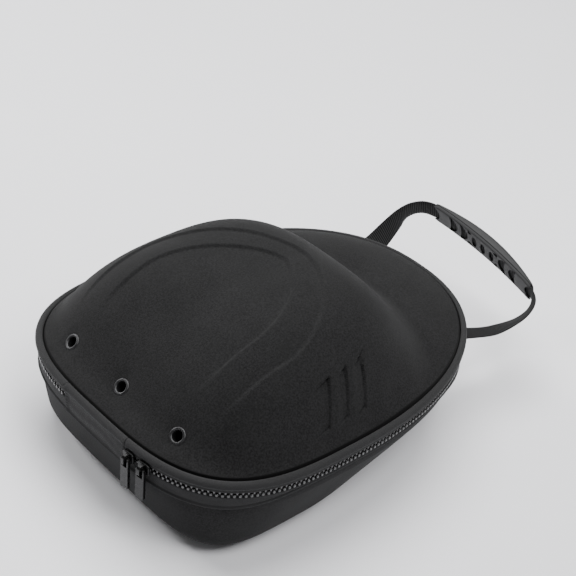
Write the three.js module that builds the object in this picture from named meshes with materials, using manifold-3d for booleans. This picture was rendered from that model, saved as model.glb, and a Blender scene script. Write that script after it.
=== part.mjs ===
// Cap carrier: a moulded, zipped hard case shaped like a cap, with a carry handle at the visor tip.
// Millimetres, Z up, X along the case with the visor tip at +X, Y = 0 is the mirror plane.
// The origin lies on the floor, in the flat bottom of the base.
import * as THREE from "three";
import Module from "manifold-3d";

const wasm = await Module();
wasm.setup();

// Driving sizes: the rim where lid and zip band meet, seen from above
const RIM = { centre: 0, back: 115.8, front: 176.2, half: 120, backPower: 3.2, frontPower: 2.25 };
const WALL = 4;
const GAP = 0.35;
const RIM_POINTS = 54;
const HINGE_POINTS = 6;

// Heights above the floor
const CREASE_Z = 73;
const ZIP_Z = 64;
const BAND_FOOT_Z = 51;
const TAPE_RISE = { height: 7.5, from: -100, full: -30, until: 85, end: 135 };

// The crown of the lid, a dome that stands inside the rim
const CROWN = { centre: 4, back: 108.7, front: 108.8, half: 116.7, backPower: 3.6, frontPower: 2.8 };
const CROWN_HEIGHT = 63.5;
const CROWN_SWELL = { back: 2.5, side: 3.8, front: 3.5 };
const CROWN_LINING = 1.15;

// The flange round the crown, which widens into the visor
const VISOR_RISE = 12.8;
const VISOR_REACH = 60;
const EDGE_RISE = 1.5;
const EDGE_REACH = 1.5;
const FOOT_BLEND = 6.6;
const FOOT_SHARE = 0.95;
const FLANGE_EDGE = 4;
const EDGE_TURN = { drop: 2.2, inset: 1.3 };

// Two sunken horseshoe steps on the crown, open towards the back
const STEP_DEPTH = 2;
const STEP_RUN = 3;
const STEP_POWERS = { backPower: 6, frontPower: 1.8, tipPower: 1.5 };
const OUTER_STEP = { centre: -25, back: 70, front: 81.5, half: 78, ...STEP_POWERS };
const INNER_STEP = { centre: -38, back: 51, front: 76.5, half: 55.5, ...STEP_POWERS };
const STEP_FADE = { from: -84, to: -52 };

// The tray of the base: how the outline changes from the band down to the floor
const TRAY = { shift: -28, backInset: 11, sideInset: 16, frontFloor: 110, backPower: 4.1, frontPower: 1.7 };
const TRAY_ROUND = 18;
const OUTER_LEVELS = [0, 1, 3.5, 8, 14, 22, 30, 37, 44];
const INNER_LEVELS = [0, 2, 6, 13, 24, 35, 43];

// Hinge panel at the back, three eyelets, two sliders
const HINGE_HALF = 33;
const HINGE_SLIT = 0.4;
const EYELET = { hole: 4.1, barrel: 4.6, flange: 5.9, flangeHeight: 1.1, depth: 5.2, seat: -0.15 };
const EYELET_CUT = { foot: -16, head: 6, seat: -0.5 };
const EYELET_SIDES = 16;
const EYELET_AT = [
  { name: "eyelet_far", x: -96, y: 58 },
  { name: "eyelet_middle", x: -97.3, y: 0 },
  { name: "eyelet_near", x: -96, y: -58 },
];
const SLIDER_AT = [
  { letter: "a", y: -39.5 },
  { letter: "b", y: -52.8 },
];

// Three louvres pressed into each side of the crown: the step of each, foot and head, and its run back
const LOUVRE = { depth: 2.4, footFall: 5, headFall: 2.6, proud: 0.4, clear: 7 };
const LOUVRE_STEPS = [
  { footX: -14, footZ: 85.5, headX: -2.8, headZ: 109.6, run: 24 },
  { footX: 2.4, footZ: 87, headX: 12.5, headZ: 111, run: 15 },
  { footX: 17.8, footZ: 87, headX: 28, headZ: 112.5, run: 15 },
];

// The handle: webbing stations from the far root to the near root, turn 0 flat and 90 on edge
const WEBBING = { width: 17.5, thick: 1.8 };
const FAR_LEG = [
  { x: 171.4, y: 50, z: 57, turn: 38 },
  { x: 188, y: 54.2, z: 58.5, turn: 50 },
  { x: 203, y: 58, z: 62, turn: 67 },
  { x: 219, y: 61.8, z: 66, turn: 86 },
  { x: 231, y: 62.5, z: 69.5, turn: 108 },
  { x: 240, y: 57, z: 71.6, turn: 118 },
];
const NEAR_LEG = [
  { x: 239.6, y: -64.2, z: 52.8, turn: 92 },
  { x: 231, y: -68.8, z: 50.8, turn: 62 },
  { x: 217, y: -71.4, z: 49.6, turn: 42 },
  { x: 202.5, y: -71, z: 49.4, turn: 28 },
  { x: 185, y: -69.5, z: 50.6, turn: 16 },
  { x: 162.7, y: -65, z: 55.6, turn: 10 },
];
const GRIP_FAR = new THREE.Vector3(244.5, 47, 71.6);
const GRIP_NEAR = new THREE.Vector3(244.5, -58.5, 54.6);
const GRIP_TURN = 114;
const GRIP = { tallEnd: 19.2, tallMiddle: 20, inner: 2.3, outerEnd: 2.4, outerMiddle: 8.4 };
const GRIP_BOW = 3.5;
const GRIP_EDGE = 1.3;
const GRIP_LEAD = 0.06;
const LEG_STEPS = 16;
const GRIP_PARTS = [0, 0.05, 0.14, 0.26, 0.38, 0.5, 0.62, 0.74, 0.86, 0.95, 1];

const clamp01 = (value) => Math.min(Math.max(value, 0), 1);
const smooth = (value) => clamp01(value) ** 2 * (3 - 2 * clamp01(value));

// Outline helpers: two half superellipses that share their widest section
function radius(shape, angle, grow = 0) {
  const forward = Math.cos(angle) >= 0;
  const along = (forward ? shape.front : shape.back) + grow;
  const power = forward ? shape.frontPower : shape.backPower;
  const u = Math.abs(Math.cos(angle)) / along;
  const v = Math.abs(Math.sin(angle)) / (shape.half + grow);
  if (!forward || !shape.tipPower) return 1 / (u ** power + v ** power) ** (1 / power);
  let low = 0;
  let high = along + shape.half + grow;
  for (let step = 0; step < 50; step += 1) {
    const r = (low + high) / 2;
    if ((r * u) ** power + (r * v) ** shape.tipPower < 1) low = r;
    else high = r;
  }
  return (low + high) / 2;
}

function outlinePoint(shape, angle, grow = 0) {
  const r = radius(shape, angle, grow);
  return { x: shape.centre + r * Math.cos(angle), y: r * Math.sin(angle) };
}

// The angle at which the back of the rim has a given y
function backAngle(y, grow = 0) {
  let low = Math.PI / 2;
  let high = Math.PI;
  for (let step = 0; step < 60; step += 1) {
    const middle = (low + high) / 2;
    if (outlinePoint(RIM, middle, grow).y > Math.abs(y)) low = middle;
    else high = middle;
  }
  return y >= 0 ? (low + high) / 2 : 2 * Math.PI - (low + high) / 2;
}

// Angles that space points evenly along a stretch of the rim
function spacedAngles(start, end, count) {
  const fine = 2400;
  const lengths = [0];
  let before = outlinePoint(RIM, start);
  for (let step = 1; step <= fine; step += 1) {
    const here = outlinePoint(RIM, start + ((end - start) * step) / fine);
    lengths.push(lengths[step - 1] + Math.hypot(here.x - before.x, here.y - before.y));
    before = here;
  }
  const angles = [];
  let at = 0;
  for (let index = 0; index <= count; index += 1) {
    const wanted = (lengths[fine] * index) / count;
    while (at < fine - 1 && lengths[at + 1] < wanted) at += 1;
    const part = (wanted - lengths[at]) / (lengths[at + 1] - lengths[at]);
    angles.push(start + ((end - start) * (at + part)) / fine);
  }
  return angles;
}

// One list of angles for every ring, so that neighbours keep an even gap
const ZIP_START = backAngle(-HINGE_HALF - HINGE_SLIT) - 2 * Math.PI;
const ZIP_END = backAngle(HINGE_HALF + HINGE_SLIT);
const HINGE_START = backAngle(HINGE_HALF);
const HINGE_END = backAngle(-HINGE_HALF);
const ZIP_ANGLES = spacedAngles(ZIP_START, ZIP_END, RIM_POINTS);
const HINGE_ANGLES = spacedAngles(HINGE_START, HINGE_END, HINGE_POINTS);
const RING_ANGLES = [...ZIP_ANGLES, ...HINGE_ANGLES];

// Heights of the lid above the crease
function crownHeight(x, y, shrink = 0) {
  const away = Math.hypot(x - CROWN.centre, y);
  const angle = Math.atan2(y, x - CROWN.centre);
  const c = Math.cos(angle);
  const s = Math.sin(angle);
  const swell = CROWN_SWELL.side * s * s + (c < 0 ? CROWN_SWELL.back : CROWN_SWELL.front) * c * c;
  const part = away / (radius(CROWN, angle) - shrink * CROWN_LINING);
  return (CROWN_HEIGHT - shrink) * (1 - part ** swell);
}

function visorHeight(x, y, shrink = 0) {
  const angle = Math.atan2(y, x);
  const inward = Math.max(radius(RIM, angle) - Math.hypot(x, y), 0);
  const part = Math.min(inward / VISOR_REACH, 1);
  const edge = EDGE_RISE * (1 - Math.exp(-inward / EDGE_REACH));
  return edge + VISOR_RISE * (1 - (1 - part) ** 2) - shrink;
}

function lidHeight(x, y, shrink = 0) {
  const crown = crownHeight(x, y, shrink);
  const visor = visorHeight(x, y, shrink);
  const mix = clamp01(0.5 + (0.5 * (crown - visor)) / FOOT_BLEND);
  return CREASE_Z + visor * (1 - mix) + crown * mix + FOOT_BLEND * mix * (1 - mix);
}

function lidNormal(x, y) {
  const e = 0.4;
  const dx = (lidHeight(x + e, y) - lidHeight(x - e, y)) / (2 * e);
  const dy = (lidHeight(x, y + e) - lidHeight(x, y - e)) / (2 * e);
  return new THREE.Vector3(-dx, -dy, 1).normalize();
}

// How much of a step is left towards the open back
const stepFade = (x) => smooth((x - STEP_FADE.from) / (STEP_FADE.to - STEP_FADE.from));

// How far the lower edge of the zip tape rises along the sides, between the back and the handle's roots
function footRise(x) {
  const { height, from, full, until, end } = TAPE_RISE;
  return height * smooth((x - from) / (full - from)) * smooth((end - x) / (end - until));
}

// Mesh helpers
function closedMesh(points, faces) {
  let volume = 0;
  for (const [a, b, c] of faces) {
    const [p, q, r] = [points[a], points[b], points[c]];
    volume += p[0] * (q[1] * r[2] - q[2] * r[1]);
    volume -= p[1] * (q[0] * r[2] - q[2] * r[0]);
    volume += p[2] * (q[0] * r[1] - q[1] * r[0]);
  }
  const turned = volume < 0 ? faces.map(([a, b, c]) => [a, c, b]) : faces;
  const geometry = new THREE.BufferGeometry();
  geometry.setAttribute("position", new THREE.Float32BufferAttribute(points.flat(), 3));
  geometry.setIndex(turned.flat());
  return geometry;
}

function stitch(faces, rowA, rowB, count, around) {
  const last = around ? count : count - 1;
  for (let index = 0; index < last; index += 1) {
    const next = (index + 1) % count;
    faces.push([rowA + index, rowA + next, rowB + index]);
    faces.push([rowA + next, rowB + next, rowB + index]);
  }
}

function capFaces(faces, loop, first, flip) {
  const flat = loop.map((p) => new THREE.Vector2(p[0], p[1]));
  for (const [a, b, c] of THREE.ShapeUtils.triangulateShape(flat, [])) {
    faces.push(flip ? [first + a, first + c, first + b] : [first + a, first + b, first + c]);
  }
}

// A solid from a sequence of loops whose first and last loops are closed by a point or by a flat face
function loopSolid(loops, startPoint, endPoint) {
  const points = [];
  const faces = [];
  const count = loops[0].length;
  for (const loop of loops) points.push(...loop);
  for (let row = 0; row + 1 < loops.length; row += 1) {
    stitch(faces, row * count, (row + 1) * count, count, true);
  }
  const last = (loops.length - 1) * count;
  if (startPoint) {
    points.push(startPoint);
    const tip = points.length - 1;
    for (let index = 0; index < count; index += 1) faces.push([tip, (index + 1) % count, index]);
  } else capFaces(faces, loops[0], 0, true);
  if (endPoint) {
    points.push(endPoint);
    const tip = points.length - 1;
    for (let index = 0; index < count; index += 1) {
      faces.push([tip, last + index, last + ((index + 1) % count)]);
    }
  } else capFaces(faces, loops[loops.length - 1], last, false);
  return closedMesh(points, faces);
}

// A band along the rim: its section is given as distance out from the rim, height and share of the foot's rise
function rimBand(section, angles) {
  const points = [];
  const faces = [];
  for (const { out, z, rise = 0 } of section) {
    for (const angle of angles) {
      const p = outlinePoint(RIM, angle, out);
      points.push([p.x, p.y, z + rise * footRise(p.x)]);
    }
  }
  const count = angles.length;
  for (let row = 0; row < section.length; row += 1) {
    stitch(faces, row * count, ((row + 1) % section.length) * count, count, false);
  }
  const flat = section.map(({ out, z }) => new THREE.Vector2(out, z));
  for (const [a, b, c] of THREE.ShapeUtils.triangulateShape(flat, [])) {
    faces.push([a * count, b * count, c * count]);
    faces.push([a * count + count - 1, c * count + count - 1, b * count + count - 1]);
  }
  return closedMesh(points, faces);
}

// Solids that can be cut and joined
function toSolid(geometry) {
  return new wasm.Manifold(
    new wasm.Mesh({
      numProp: 3,
      vertProperties: new Float32Array(geometry.getAttribute("position").array),
      triVerts: new Uint32Array(geometry.index.array),
    }),
  );
}

function fromSolid(solid) {
  const mesh = solid.getMesh();
  const geometry = new THREE.BufferGeometry();
  geometry.setAttribute("position", new THREE.Float32BufferAttribute(Array.from(mesh.vertProperties), 3));
  geometry.setIndex(Array.from(mesh.triVerts));
  return geometry;
}

// A turned piece about its own Z axis, from a closed profile of radius and height
function circle(r, h) {
  return Array.from({ length: EYELET_SIDES }, (_, index) => {
    const angle = (2 * Math.PI * index) / EYELET_SIDES;
    return [r * Math.cos(angle), r * Math.sin(angle), h];
  });
}

function turned(profile) {
  const points = profile.flatMap(({ r, h }) => circle(r, h));
  const faces = [];
  for (let row = 0; row < profile.length; row += 1) {
    const next = (row + 1) % profile.length;
    stitch(faces, row * EYELET_SIDES, next * EYELET_SIDES, EYELET_SIDES, true);
  }
  return closedMesh(points, faces);
}

const plug = (r, low, high) => loopSolid([circle(r, low), circle(r, high)], null, null);

// A block from four corners of one face and four corners of the opposite face
function block(lower, upper) {
  const points = [...lower, ...upper];
  const faces = [
    [0, 2, 1],
    [0, 3, 2],
    [4, 5, 6],
    [4, 6, 7],
  ];
  for (let side = 0; side < 4; side += 1) {
    const next = (side + 1) % 4;
    faces.push([side, next, 4 + next]);
    faces.push([side, 4 + next, 4 + side]);
  }
  return closedMesh(points, faces);
}

function box(from, to) {
  const ring = (z) => [
    [from[0], from[1], z],
    [to[0], from[1], z],
    [to[0], to[1], z],
    [from[0], to[1], z],
  ];
  return block(ring(from[2]), ring(to[2]));
}

// Lid shell: shares of the way at which its loops lie, outside and inside
const FLANGE_PARTS = [0.2, 0.5, 0.78];
const SHOULDER_PARTS = [0, 0.14, 0.3, 0.47, 0.65, 0.83];
const TOP_PARTS = [0.62, 0.28];
const INNER_FLANGE_PARTS = [0.4, 0.75];
const INNER_SHOULDER_PARTS = [0, 0.3, 0.65];
const INNER_STEPS = [
  { shape: OUTER_STEP, scale: 1, steps: 0.6 },
  { shape: INNER_STEP, scale: 1, steps: 1.6 },
  { shape: INNER_STEP, scale: 0.5, steps: 2 },
];
const INNER_INSET = 2;
const onLid = (p, drop = 0) => [p.x, p.y, lidHeight(p.x, p.y) - drop];
const underLid = (p) => [p.x, p.y, lidHeight(p.x, p.y, WALL)];
const rimLoop = (out) => RING_ANGLES.map((angle) => outlinePoint(RIM, angle, out));
const flatLoop = (out, z) => rimLoop(out).map((p) => [p.x, p.y, z]);

function crownFoot(angle, shrink = 0) {
  const r = (radius(CROWN, angle) - shrink) * FOOT_SHARE;
  return { x: CROWN.centre + r * Math.cos(angle), y: r * Math.sin(angle) };
}

function between(a, b, part) {
  return { x: a.x + (b.x - a.x) * part, y: a.y + (b.y - a.y) * part };
}

function stepDrop(p, steps) {
  return STEP_DEPTH * steps * stepFade(p.x);
}

function stepLoop(shape, grow, steps) {
  return RING_ANGLES.map((angle) => {
    const p = outlinePoint(shape, angle, grow);
    return onLid(p, stepDrop(p, steps));
  });
}

function middleLoop(part) {
  return RING_ANGLES.map((angle) => {
    const a = outlinePoint(OUTER_STEP, angle, -STEP_RUN);
    const b = outlinePoint(INNER_STEP, angle, 0);
    const p = between(a, b, part);
    return onLid(p, stepDrop(p, 1));
  });
}

function innerLoop(scale) {
  return RING_ANGLES.map((angle) => {
    const edge = outlinePoint(INNER_STEP, angle, -STEP_RUN);
    const p = { x: INNER_STEP.centre + (edge.x - INNER_STEP.centre) * scale, y: edge.y * scale };
    return onLid(p, stepDrop(p, 2));
  });
}

function lidShell() {
  const outside = [flatLoop(0, ZIP_Z + GAP / 2), flatLoop(0, CREASE_Z - EDGE_TURN.drop)];
  for (const out of [-EDGE_TURN.inset, -FLANGE_EDGE]) outside.push(rimLoop(out).map((p) => onLid(p)));
  for (const part of FLANGE_PARTS) {
    outside.push(
      RING_ANGLES.map((angle) => {
        const edge = outlinePoint(RIM, angle, -FLANGE_EDGE);
        return onLid(between(edge, crownFoot(angle), part));
      }),
    );
  }
  for (const part of SHOULDER_PARTS) {
    outside.push(
      RING_ANGLES.map((angle) => onLid(between(crownFoot(angle), outlinePoint(OUTER_STEP, angle), part))),
    );
  }
  outside.push(stepLoop(OUTER_STEP, 0, 0), stepLoop(OUTER_STEP, -STEP_RUN, 1));
  outside.push(middleLoop(0.5));
  outside.push(stepLoop(INNER_STEP, 0, 1), stepLoop(INNER_STEP, -STEP_RUN, 2));
  outside.push(...TOP_PARTS.map(innerLoop));
  const top = { x: INNER_STEP.centre, y: 0 };
  const outerTip = onLid(top, stepDrop(top, 2));

  // The inner face follows the outer one, a wall thickness in
  const inside = [flatLoop(-WALL, ZIP_Z + GAP / 2)];
  inside.push(rimLoop(-WALL - 0.2).map(underLid));
  for (const part of INNER_FLANGE_PARTS) {
    inside.push(
      RING_ANGLES.map((angle) =>
        underLid(between(outlinePoint(RIM, angle, -WALL - INNER_INSET), crownFoot(angle, WALL), part)),
      ),
    );
  }
  for (const part of INNER_SHOULDER_PARTS) {
    inside.push(
      RING_ANGLES.map((angle) =>
        underLid(between(crownFoot(angle, WALL), outlinePoint(OUTER_STEP, angle, -INNER_INSET), part)),
      ),
    );
  }
  const sunk = ({ shape, scale, steps }) =>
    RING_ANGLES.map((angle) => {
      const edge = outlinePoint(shape, angle, -INNER_INSET);
      const p = { x: shape.centre + (edge.x - shape.centre) * scale, y: edge.y * scale };
      return [p.x, p.y, lidHeight(p.x, p.y, WALL) - stepDrop(p, steps)];
    });
  inside.push(...INNER_STEPS.map(sunk));
  const innerTip = [top.x, top.y, lidHeight(top.x, top.y, WALL) - stepDrop(top, 2)];
  return loopSolid([...inside.reverse(), ...outside], innerTip, outerTip);
}

// The point of the crown wall at a given x and height
function wallPoint(x, z, side) {
  let near = 40;
  let far = 119;
  for (let step = 0; step < 50; step += 1) {
    const y = (near + far) / 2;
    if (lidHeight(x, y) > z) near = y;
    else far = y;
  }
  return new THREE.Vector3(x, (side * (near + far)) / 2, z);
}

// One louvre: a wedge that runs in from nothing to its full depth at the step
function louvreCut({ footX, footZ, headX, headZ, run }, side) {
  const corners = [
    { at: wallPoint(footX - run, footZ - LOUVRE.footFall, side), deep: -LOUVRE.proud },
    { at: wallPoint(headX - run, headZ - LOUVRE.headFall, side), deep: -LOUVRE.proud },
    { at: wallPoint(headX, headZ, side), deep: LOUVRE.depth },
    { at: wallPoint(footX, footZ, side), deep: LOUVRE.depth },
  ];
  const middle = corners.reduce((sum, corner) => sum.add(corner.at), new THREE.Vector3()).divideScalar(4);
  const normal = lidNormal(middle.x, middle.y);
  const inner = corners.map(({ at, deep }) => at.clone().addScaledVector(normal, -deep).toArray());
  const outer = corners.map(({ at }) => at.clone().addScaledVector(normal, LOUVRE.clear).toArray());
  return block(inner, outer);
}

// Where an eyelet sits: its own Z runs out of the wall
function eyeletFrame({ x, y }) {
  const normal = lidNormal(x, y);
  const at = new THREE.Vector3(x, y, lidHeight(x, y));
  const turn = new THREE.Quaternion().setFromUnitVectors(new THREE.Vector3(0, 0, 1), normal);
  return new THREE.Matrix4().compose(at, turn, new THREE.Vector3(1, 1, 1));
}

function finishedLid() {
  let solid = toSolid(lidShell());
  for (const side of [1, -1]) {
    for (const step of LOUVRE_STEPS) solid = solid.subtract(toSolid(louvreCut(step, side)));
  }
  const { foot, head, seat } = EYELET_CUT;
  for (const place of EYELET_AT) {
    const frame = eyeletFrame(place);
    solid = solid.subtract(toSolid(plug(EYELET.barrel + GAP, foot, head).applyMatrix4(frame)));
    solid = solid.subtract(toSolid(plug(EYELET.flange + GAP, seat, head).applyMatrix4(frame)));
  }
  return fromSolid(solid);
}

function eyeletRing(place) {
  const { hole, barrel, flange, flangeHeight, depth, seat } = EYELET;
  const profile = [
    { r: hole, h: -depth },
    { r: barrel, h: -depth },
    { r: barrel, h: seat },
    { r: flange, h: seat },
    { r: flange - 0.5, h: seat + flangeHeight * 0.7 },
    { r: flange - 1.1, h: seat + flangeHeight },
    { r: hole, h: seat + flangeHeight * 0.5 },
  ];
  return turned(profile).applyMatrix4(eyeletFrame(place));
}

// Base shell: outlines level by level, with the bottom swept up under the visor
function trayShape(z, inset) {
  const share = clamp01(z / BAND_FOOT_Z);
  const lower = 1 - share;
  const round = TRAY_ROUND - Math.sqrt(Math.max(TRAY_ROUND ** 2 - Math.max(TRAY_ROUND - z, 0) ** 2, 0));
  const shift = TRAY.shift * lower;
  const front = TRAY.frontFloor + (RIM.front - TRAY.frontFloor) * smooth(share);
  return {
    centre: shift,
    back: RIM.back - TRAY.backInset * lower - round + shift - inset,
    front: front - round - shift - inset,
    half: RIM.half - TRAY.sideInset * lower - round - inset,
    backPower: RIM.backPower + (TRAY.backPower - RIM.backPower) * lower,
    frontPower: RIM.frontPower + (TRAY.frontPower - RIM.frontPower) * lower,
  };
}

function trayLoop(z, inset, lift) {
  const shape = trayShape(z, inset);
  return RING_ANGLES.map((angle) => {
    const p = outlinePoint(shape, angle);
    return [p.x, p.y, z + lift];
  });
}

function baseShell() {
  const outside = OUTER_LEVELS.map((z) => trayLoop(z, 0, 0));
  outside.push(flatLoop(0, BAND_FOOT_Z), flatLoop(0, ZIP_Z - GAP / 2));
  const rise = (BAND_FOOT_Z - WALL) / BAND_FOOT_Z;
  const inside = INNER_LEVELS.map((z) =>
    trayLoop(z, WALL, 0).map(([x, y, height]) => [x, y, WALL + height * rise]),
  );
  inside.push(flatLoop(-WALL, BAND_FOOT_Z), flatLoop(-WALL, ZIP_Z - GAP / 2));
  return loopSolid([...outside, ...inside.reverse()], null, null);
}

// Zip band: the rolled upper tape, the chain, the lower tape and the plain panel of the cloth hinge
const ROLL = [
  { out: 3.2, z: CREASE_Z - 4.4 },
  { out: 4.2, z: CREASE_Z - 3 },
  { out: 3.6, z: CREASE_Z - 0.9 },
  { out: 1.8, z: CREASE_Z + 0.1 },
  { out: GAP, z: CREASE_Z - 0.6 },
];
const UPPER_TAPE = [{ out: GAP, z: ZIP_Z + 3.1 }, { out: 2.6, z: ZIP_Z + 3.1 }, ...ROLL];
const CHAIN_HALF = 2.7;
const CHAIN = [
  { out: 0.9, z: ZIP_Z - CHAIN_HALF },
  { out: 3.2, z: ZIP_Z - CHAIN_HALF },
  { out: 3.2, z: ZIP_Z + CHAIN_HALF },
  { out: 0.9, z: ZIP_Z + CHAIN_HALF },
];
const LOWER_TAPE = [
  { out: GAP, z: BAND_FOOT_Z, rise: 1 },
  { out: 1.9, z: BAND_FOOT_Z, rise: 1 },
  { out: 2.4, z: BAND_FOOT_Z + 1.2, rise: 1 },
  { out: 2.3, z: ZIP_Z - CHAIN_HALF - GAP },
  { out: GAP, z: ZIP_Z - CHAIN_HALF - GAP },
];
const HINGE_SECTION = [
  { out: GAP, z: BAND_FOOT_Z },
  { out: 2.0, z: BAND_FOOT_Z },
  { out: 2.6, z: BAND_FOOT_Z + 1.2 },
  { out: 2.7, z: ZIP_Z + CHAIN_HALF },
  ...ROLL,
];

// Sliders and pulls, made at the origin: X along the zip, Y out of the band, Z up from the zip
function trackFrame(y) {
  const angle = backAngle(y);
  const e = 1e-3;
  const ahead = outlinePoint(RIM, angle + e);
  const behind = outlinePoint(RIM, angle - e);
  const at = outlinePoint(RIM, angle);
  const tangent = new THREE.Vector3(behind.x - ahead.x, behind.y - ahead.y, 0).normalize();
  const up = new THREE.Vector3(0, 0, 1);
  const outward = new THREE.Vector3().crossVectors(up, tangent);
  return new THREE.Matrix4().makeBasis(tangent, outward, up).setPosition(at.x, at.y, ZIP_Z);
}

const SLIDER = { inner: 3.6, plate: 5.8, half: 4.9, neck: 3.1, tall: 4.3, nose: 1.6, tail: 1.2, lip: 0.6 };
const SLIDER_TOP = 0.86;
const SLIDER_ARM = { root: 5.4, top: 10.4, half: 0.9, wall: 1, reach: 3.7, clear: 2.9 };
const PULL_AXIS_OUT = 7.6;
const PULL = { half: 3.8, thick: 2.2, top: 1, length: 24, headCut: 0.9, footCut: 1.2 };
const PULL_EYE = { top: 0.95, foot: 5.6, half: 2.1 };

function sliderBody() {
  const { inner, plate, half, neck, tall, nose, tail, lip } = SLIDER;
  const arm = SLIDER_ARM;
  const side = [
    [-half, -neck],
    [-half + nose, -tall],
    [half - tail, -tall],
    [half, -neck],
    [half, neck],
    [half - tail, tall],
    [-half + nose, tall],
    [-half, neck],
  ];
  const ring = (out, scale) => side.map(([x, z]) => [x * scale, z * scale, out]);
  const upright = new THREE.Matrix4().makeBasis(
    new THREE.Vector3(1, 0, 0),
    new THREE.Vector3(0, 0, 1),
    new THREE.Vector3(0, 1, 0),
  );
  const shell = loopSolid([ring(inner, 1), ring(plate - lip, 1), ring(plate, SLIDER_TOP)], null, null);
  let solid = toSolid(reversed(shell.applyMatrix4(upright)));
  const bail = [
    box([-arm.half, arm.root, arm.clear], [arm.half, arm.top, arm.reach]),
    box([-arm.half, arm.root, -arm.reach], [arm.half, arm.top, -arm.clear]),
    box([-arm.half, arm.top - arm.wall, -arm.reach], [arm.half, arm.top, arm.reach]),
  ];
  for (const piece of bail) solid = solid.add(toSolid(piece));
  return fromSolid(solid);
}

// Turns the faces round after a mirroring change of axes
function reversed(geometry) {
  const index = Array.from(geometry.index.array);
  for (let at = 0; at < index.length; at += 3) {
    [index[at + 1], index[at + 2]] = [index[at + 2], index[at + 1]];
  }
  geometry.setIndex(index);
  return geometry;
}

function pullTab() {
  const { half, thick, top, length, headCut, footCut } = PULL;
  const eye = PULL_EYE;
  const low = PULL_AXIS_OUT - thick / 2;
  const high = PULL_AXIS_OUT + thick / 2;
  const outline = [
    [-half + headCut, top],
    [half - headCut, top],
    [half, top - headCut],
    [half, footCut - length],
    [half - footCut, -length],
    [-half + footCut, -length],
    [-half, footCut - length],
    [-half, top - headCut],
  ];
  const shape = new THREE.Shape(outline.map(([x, z]) => new THREE.Vector2(x, z)));
  const opening = [
    [-eye.half, -eye.top],
    [-eye.half, -eye.foot],
    [eye.half, -eye.foot],
    [eye.half, -eye.top],
  ];
  shape.holes.push(new THREE.Path(opening.map(([x, z]) => new THREE.Vector2(x, z))));
  const plate = new THREE.ExtrudeGeometry(shape, { depth: high - low, bevelEnabled: false, steps: 1 });
  const stand = new THREE.Matrix4().makeBasis(
    new THREE.Vector3(1, 0, 0),
    new THREE.Vector3(0, 0, 1),
    new THREE.Vector3(0, -1, 0),
  );
  stand.setPosition(0, high, 0);
  return plate.applyMatrix4(stand);
}

// Handle: a strap on its own path, and a moulded grip round its straight middle
const UP = new THREE.Vector3(0, 0, 1);
const GRIP_LINE = new THREE.Vector3().subVectors(GRIP_NEAR, GRIP_FAR);
const GRIP_LENGTH = GRIP_LINE.length();
const GRIP_DIR = GRIP_LINE.clone().normalize();

function strapFrame(tangent, turn) {
  const side = new THREE.Vector3().crossVectors(UP, tangent).normalize();
  const lift = new THREE.Vector3().crossVectors(tangent, side).normalize();
  const angle = THREE.MathUtils.degToRad(turn);
  const width = side.clone().multiplyScalar(Math.cos(angle)).addScaledVector(lift, Math.sin(angle));
  const face = new THREE.Vector3().crossVectors(tangent, width).normalize();
  return { width, face };
}

const { width: GRIP_WIDTH, face: GRIP_FACE } = strapFrame(GRIP_DIR, GRIP_TURN);

function legStations(leg, before, after, count) {
  const knots = leg.map(({ x, y, z }) => new THREE.Vector3(x, y, z));
  const path = [...(before ?? []), ...knots, ...(after ?? [])];
  const curve = new THREE.CatmullRomCurve3(path, false, "centripetal");
  const spans = path.length - 1;
  const first = before ? before.length - 1 : 0;
  const last = after ? spans - after.length + 1 : spans;
  const turns = path.map((_, index) => {
    const at = index - (before ? before.length : 0);
    return at < 0 || at >= leg.length ? GRIP_TURN : leg[at].turn;
  });
  const stations = [];
  for (let step = 0; step <= count; step += 1) {
    const where = first + ((last - first) * step) / count;
    const low = Math.min(Math.floor(where), spans - 1);
    const turn = turns[low] + (turns[low + 1] - turns[low]) * smooth(where - low);
    stations.push({ at: curve.getPoint(where / spans), tangent: curve.getTangent(where / spans), turn });
  }
  return stations;
}

function gripPoint(part) {
  const bow = GRIP_BOW * 4 * part * (1 - part);
  return GRIP_FAR.clone().addScaledVector(GRIP_DIR, GRIP_LENGTH * part).addScaledVector(GRIP_FACE, -bow);
}

const gripStation = (part) => ({ at: gripPoint(part), tangent: GRIP_DIR, turn: GRIP_TURN });

function strapStations() {
  const far = legStations(FAR_LEG, null, [gripPoint(0), gripPoint(GRIP_LEAD)], LEG_STEPS);
  const near = legStations(NEAR_LEG, [gripPoint(1 - GRIP_LEAD), gripPoint(1)], null, LEG_STEPS);
  const middle = GRIP_PARTS.slice(1, -1).map(gripStation);
  far[far.length - 1].tangent = GRIP_DIR;
  near[0].tangent = GRIP_DIR;
  return [...far, ...middle, ...near];
}

function strapLoop({ at, tangent, turn }, halfWidth, halfThick) {
  const { width, face } = strapFrame(tangent, turn);
  const corner = (w, f) =>
    at
      .clone()
      .addScaledVector(width, w * halfWidth)
      .addScaledVector(face, f * halfThick)
      .toArray();
  return [corner(-1, -1), corner(1, -1), corner(1, 1), corner(-1, 1)];
}

function tubeSolid(loops) {
  const points = loops.flat();
  const faces = [];
  const count = loops[0].length;
  for (let row = 0; row + 1 < loops.length; row += 1) {
    stitch(faces, row * count, (row + 1) * count, count, true);
  }
  const last = (loops.length - 1) * count;
  for (let index = 1; index + 1 < count; index += 1) {
    faces.push([0, index + 1, index]);
    faces.push([last, last + index, last + index + 1]);
  }
  return closedMesh(points, faces);
}

const webbingStrap = () =>
  tubeSolid(strapStations().map((station) => strapLoop(station, WEBBING.width / 2, WEBBING.thick / 2)));

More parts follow.
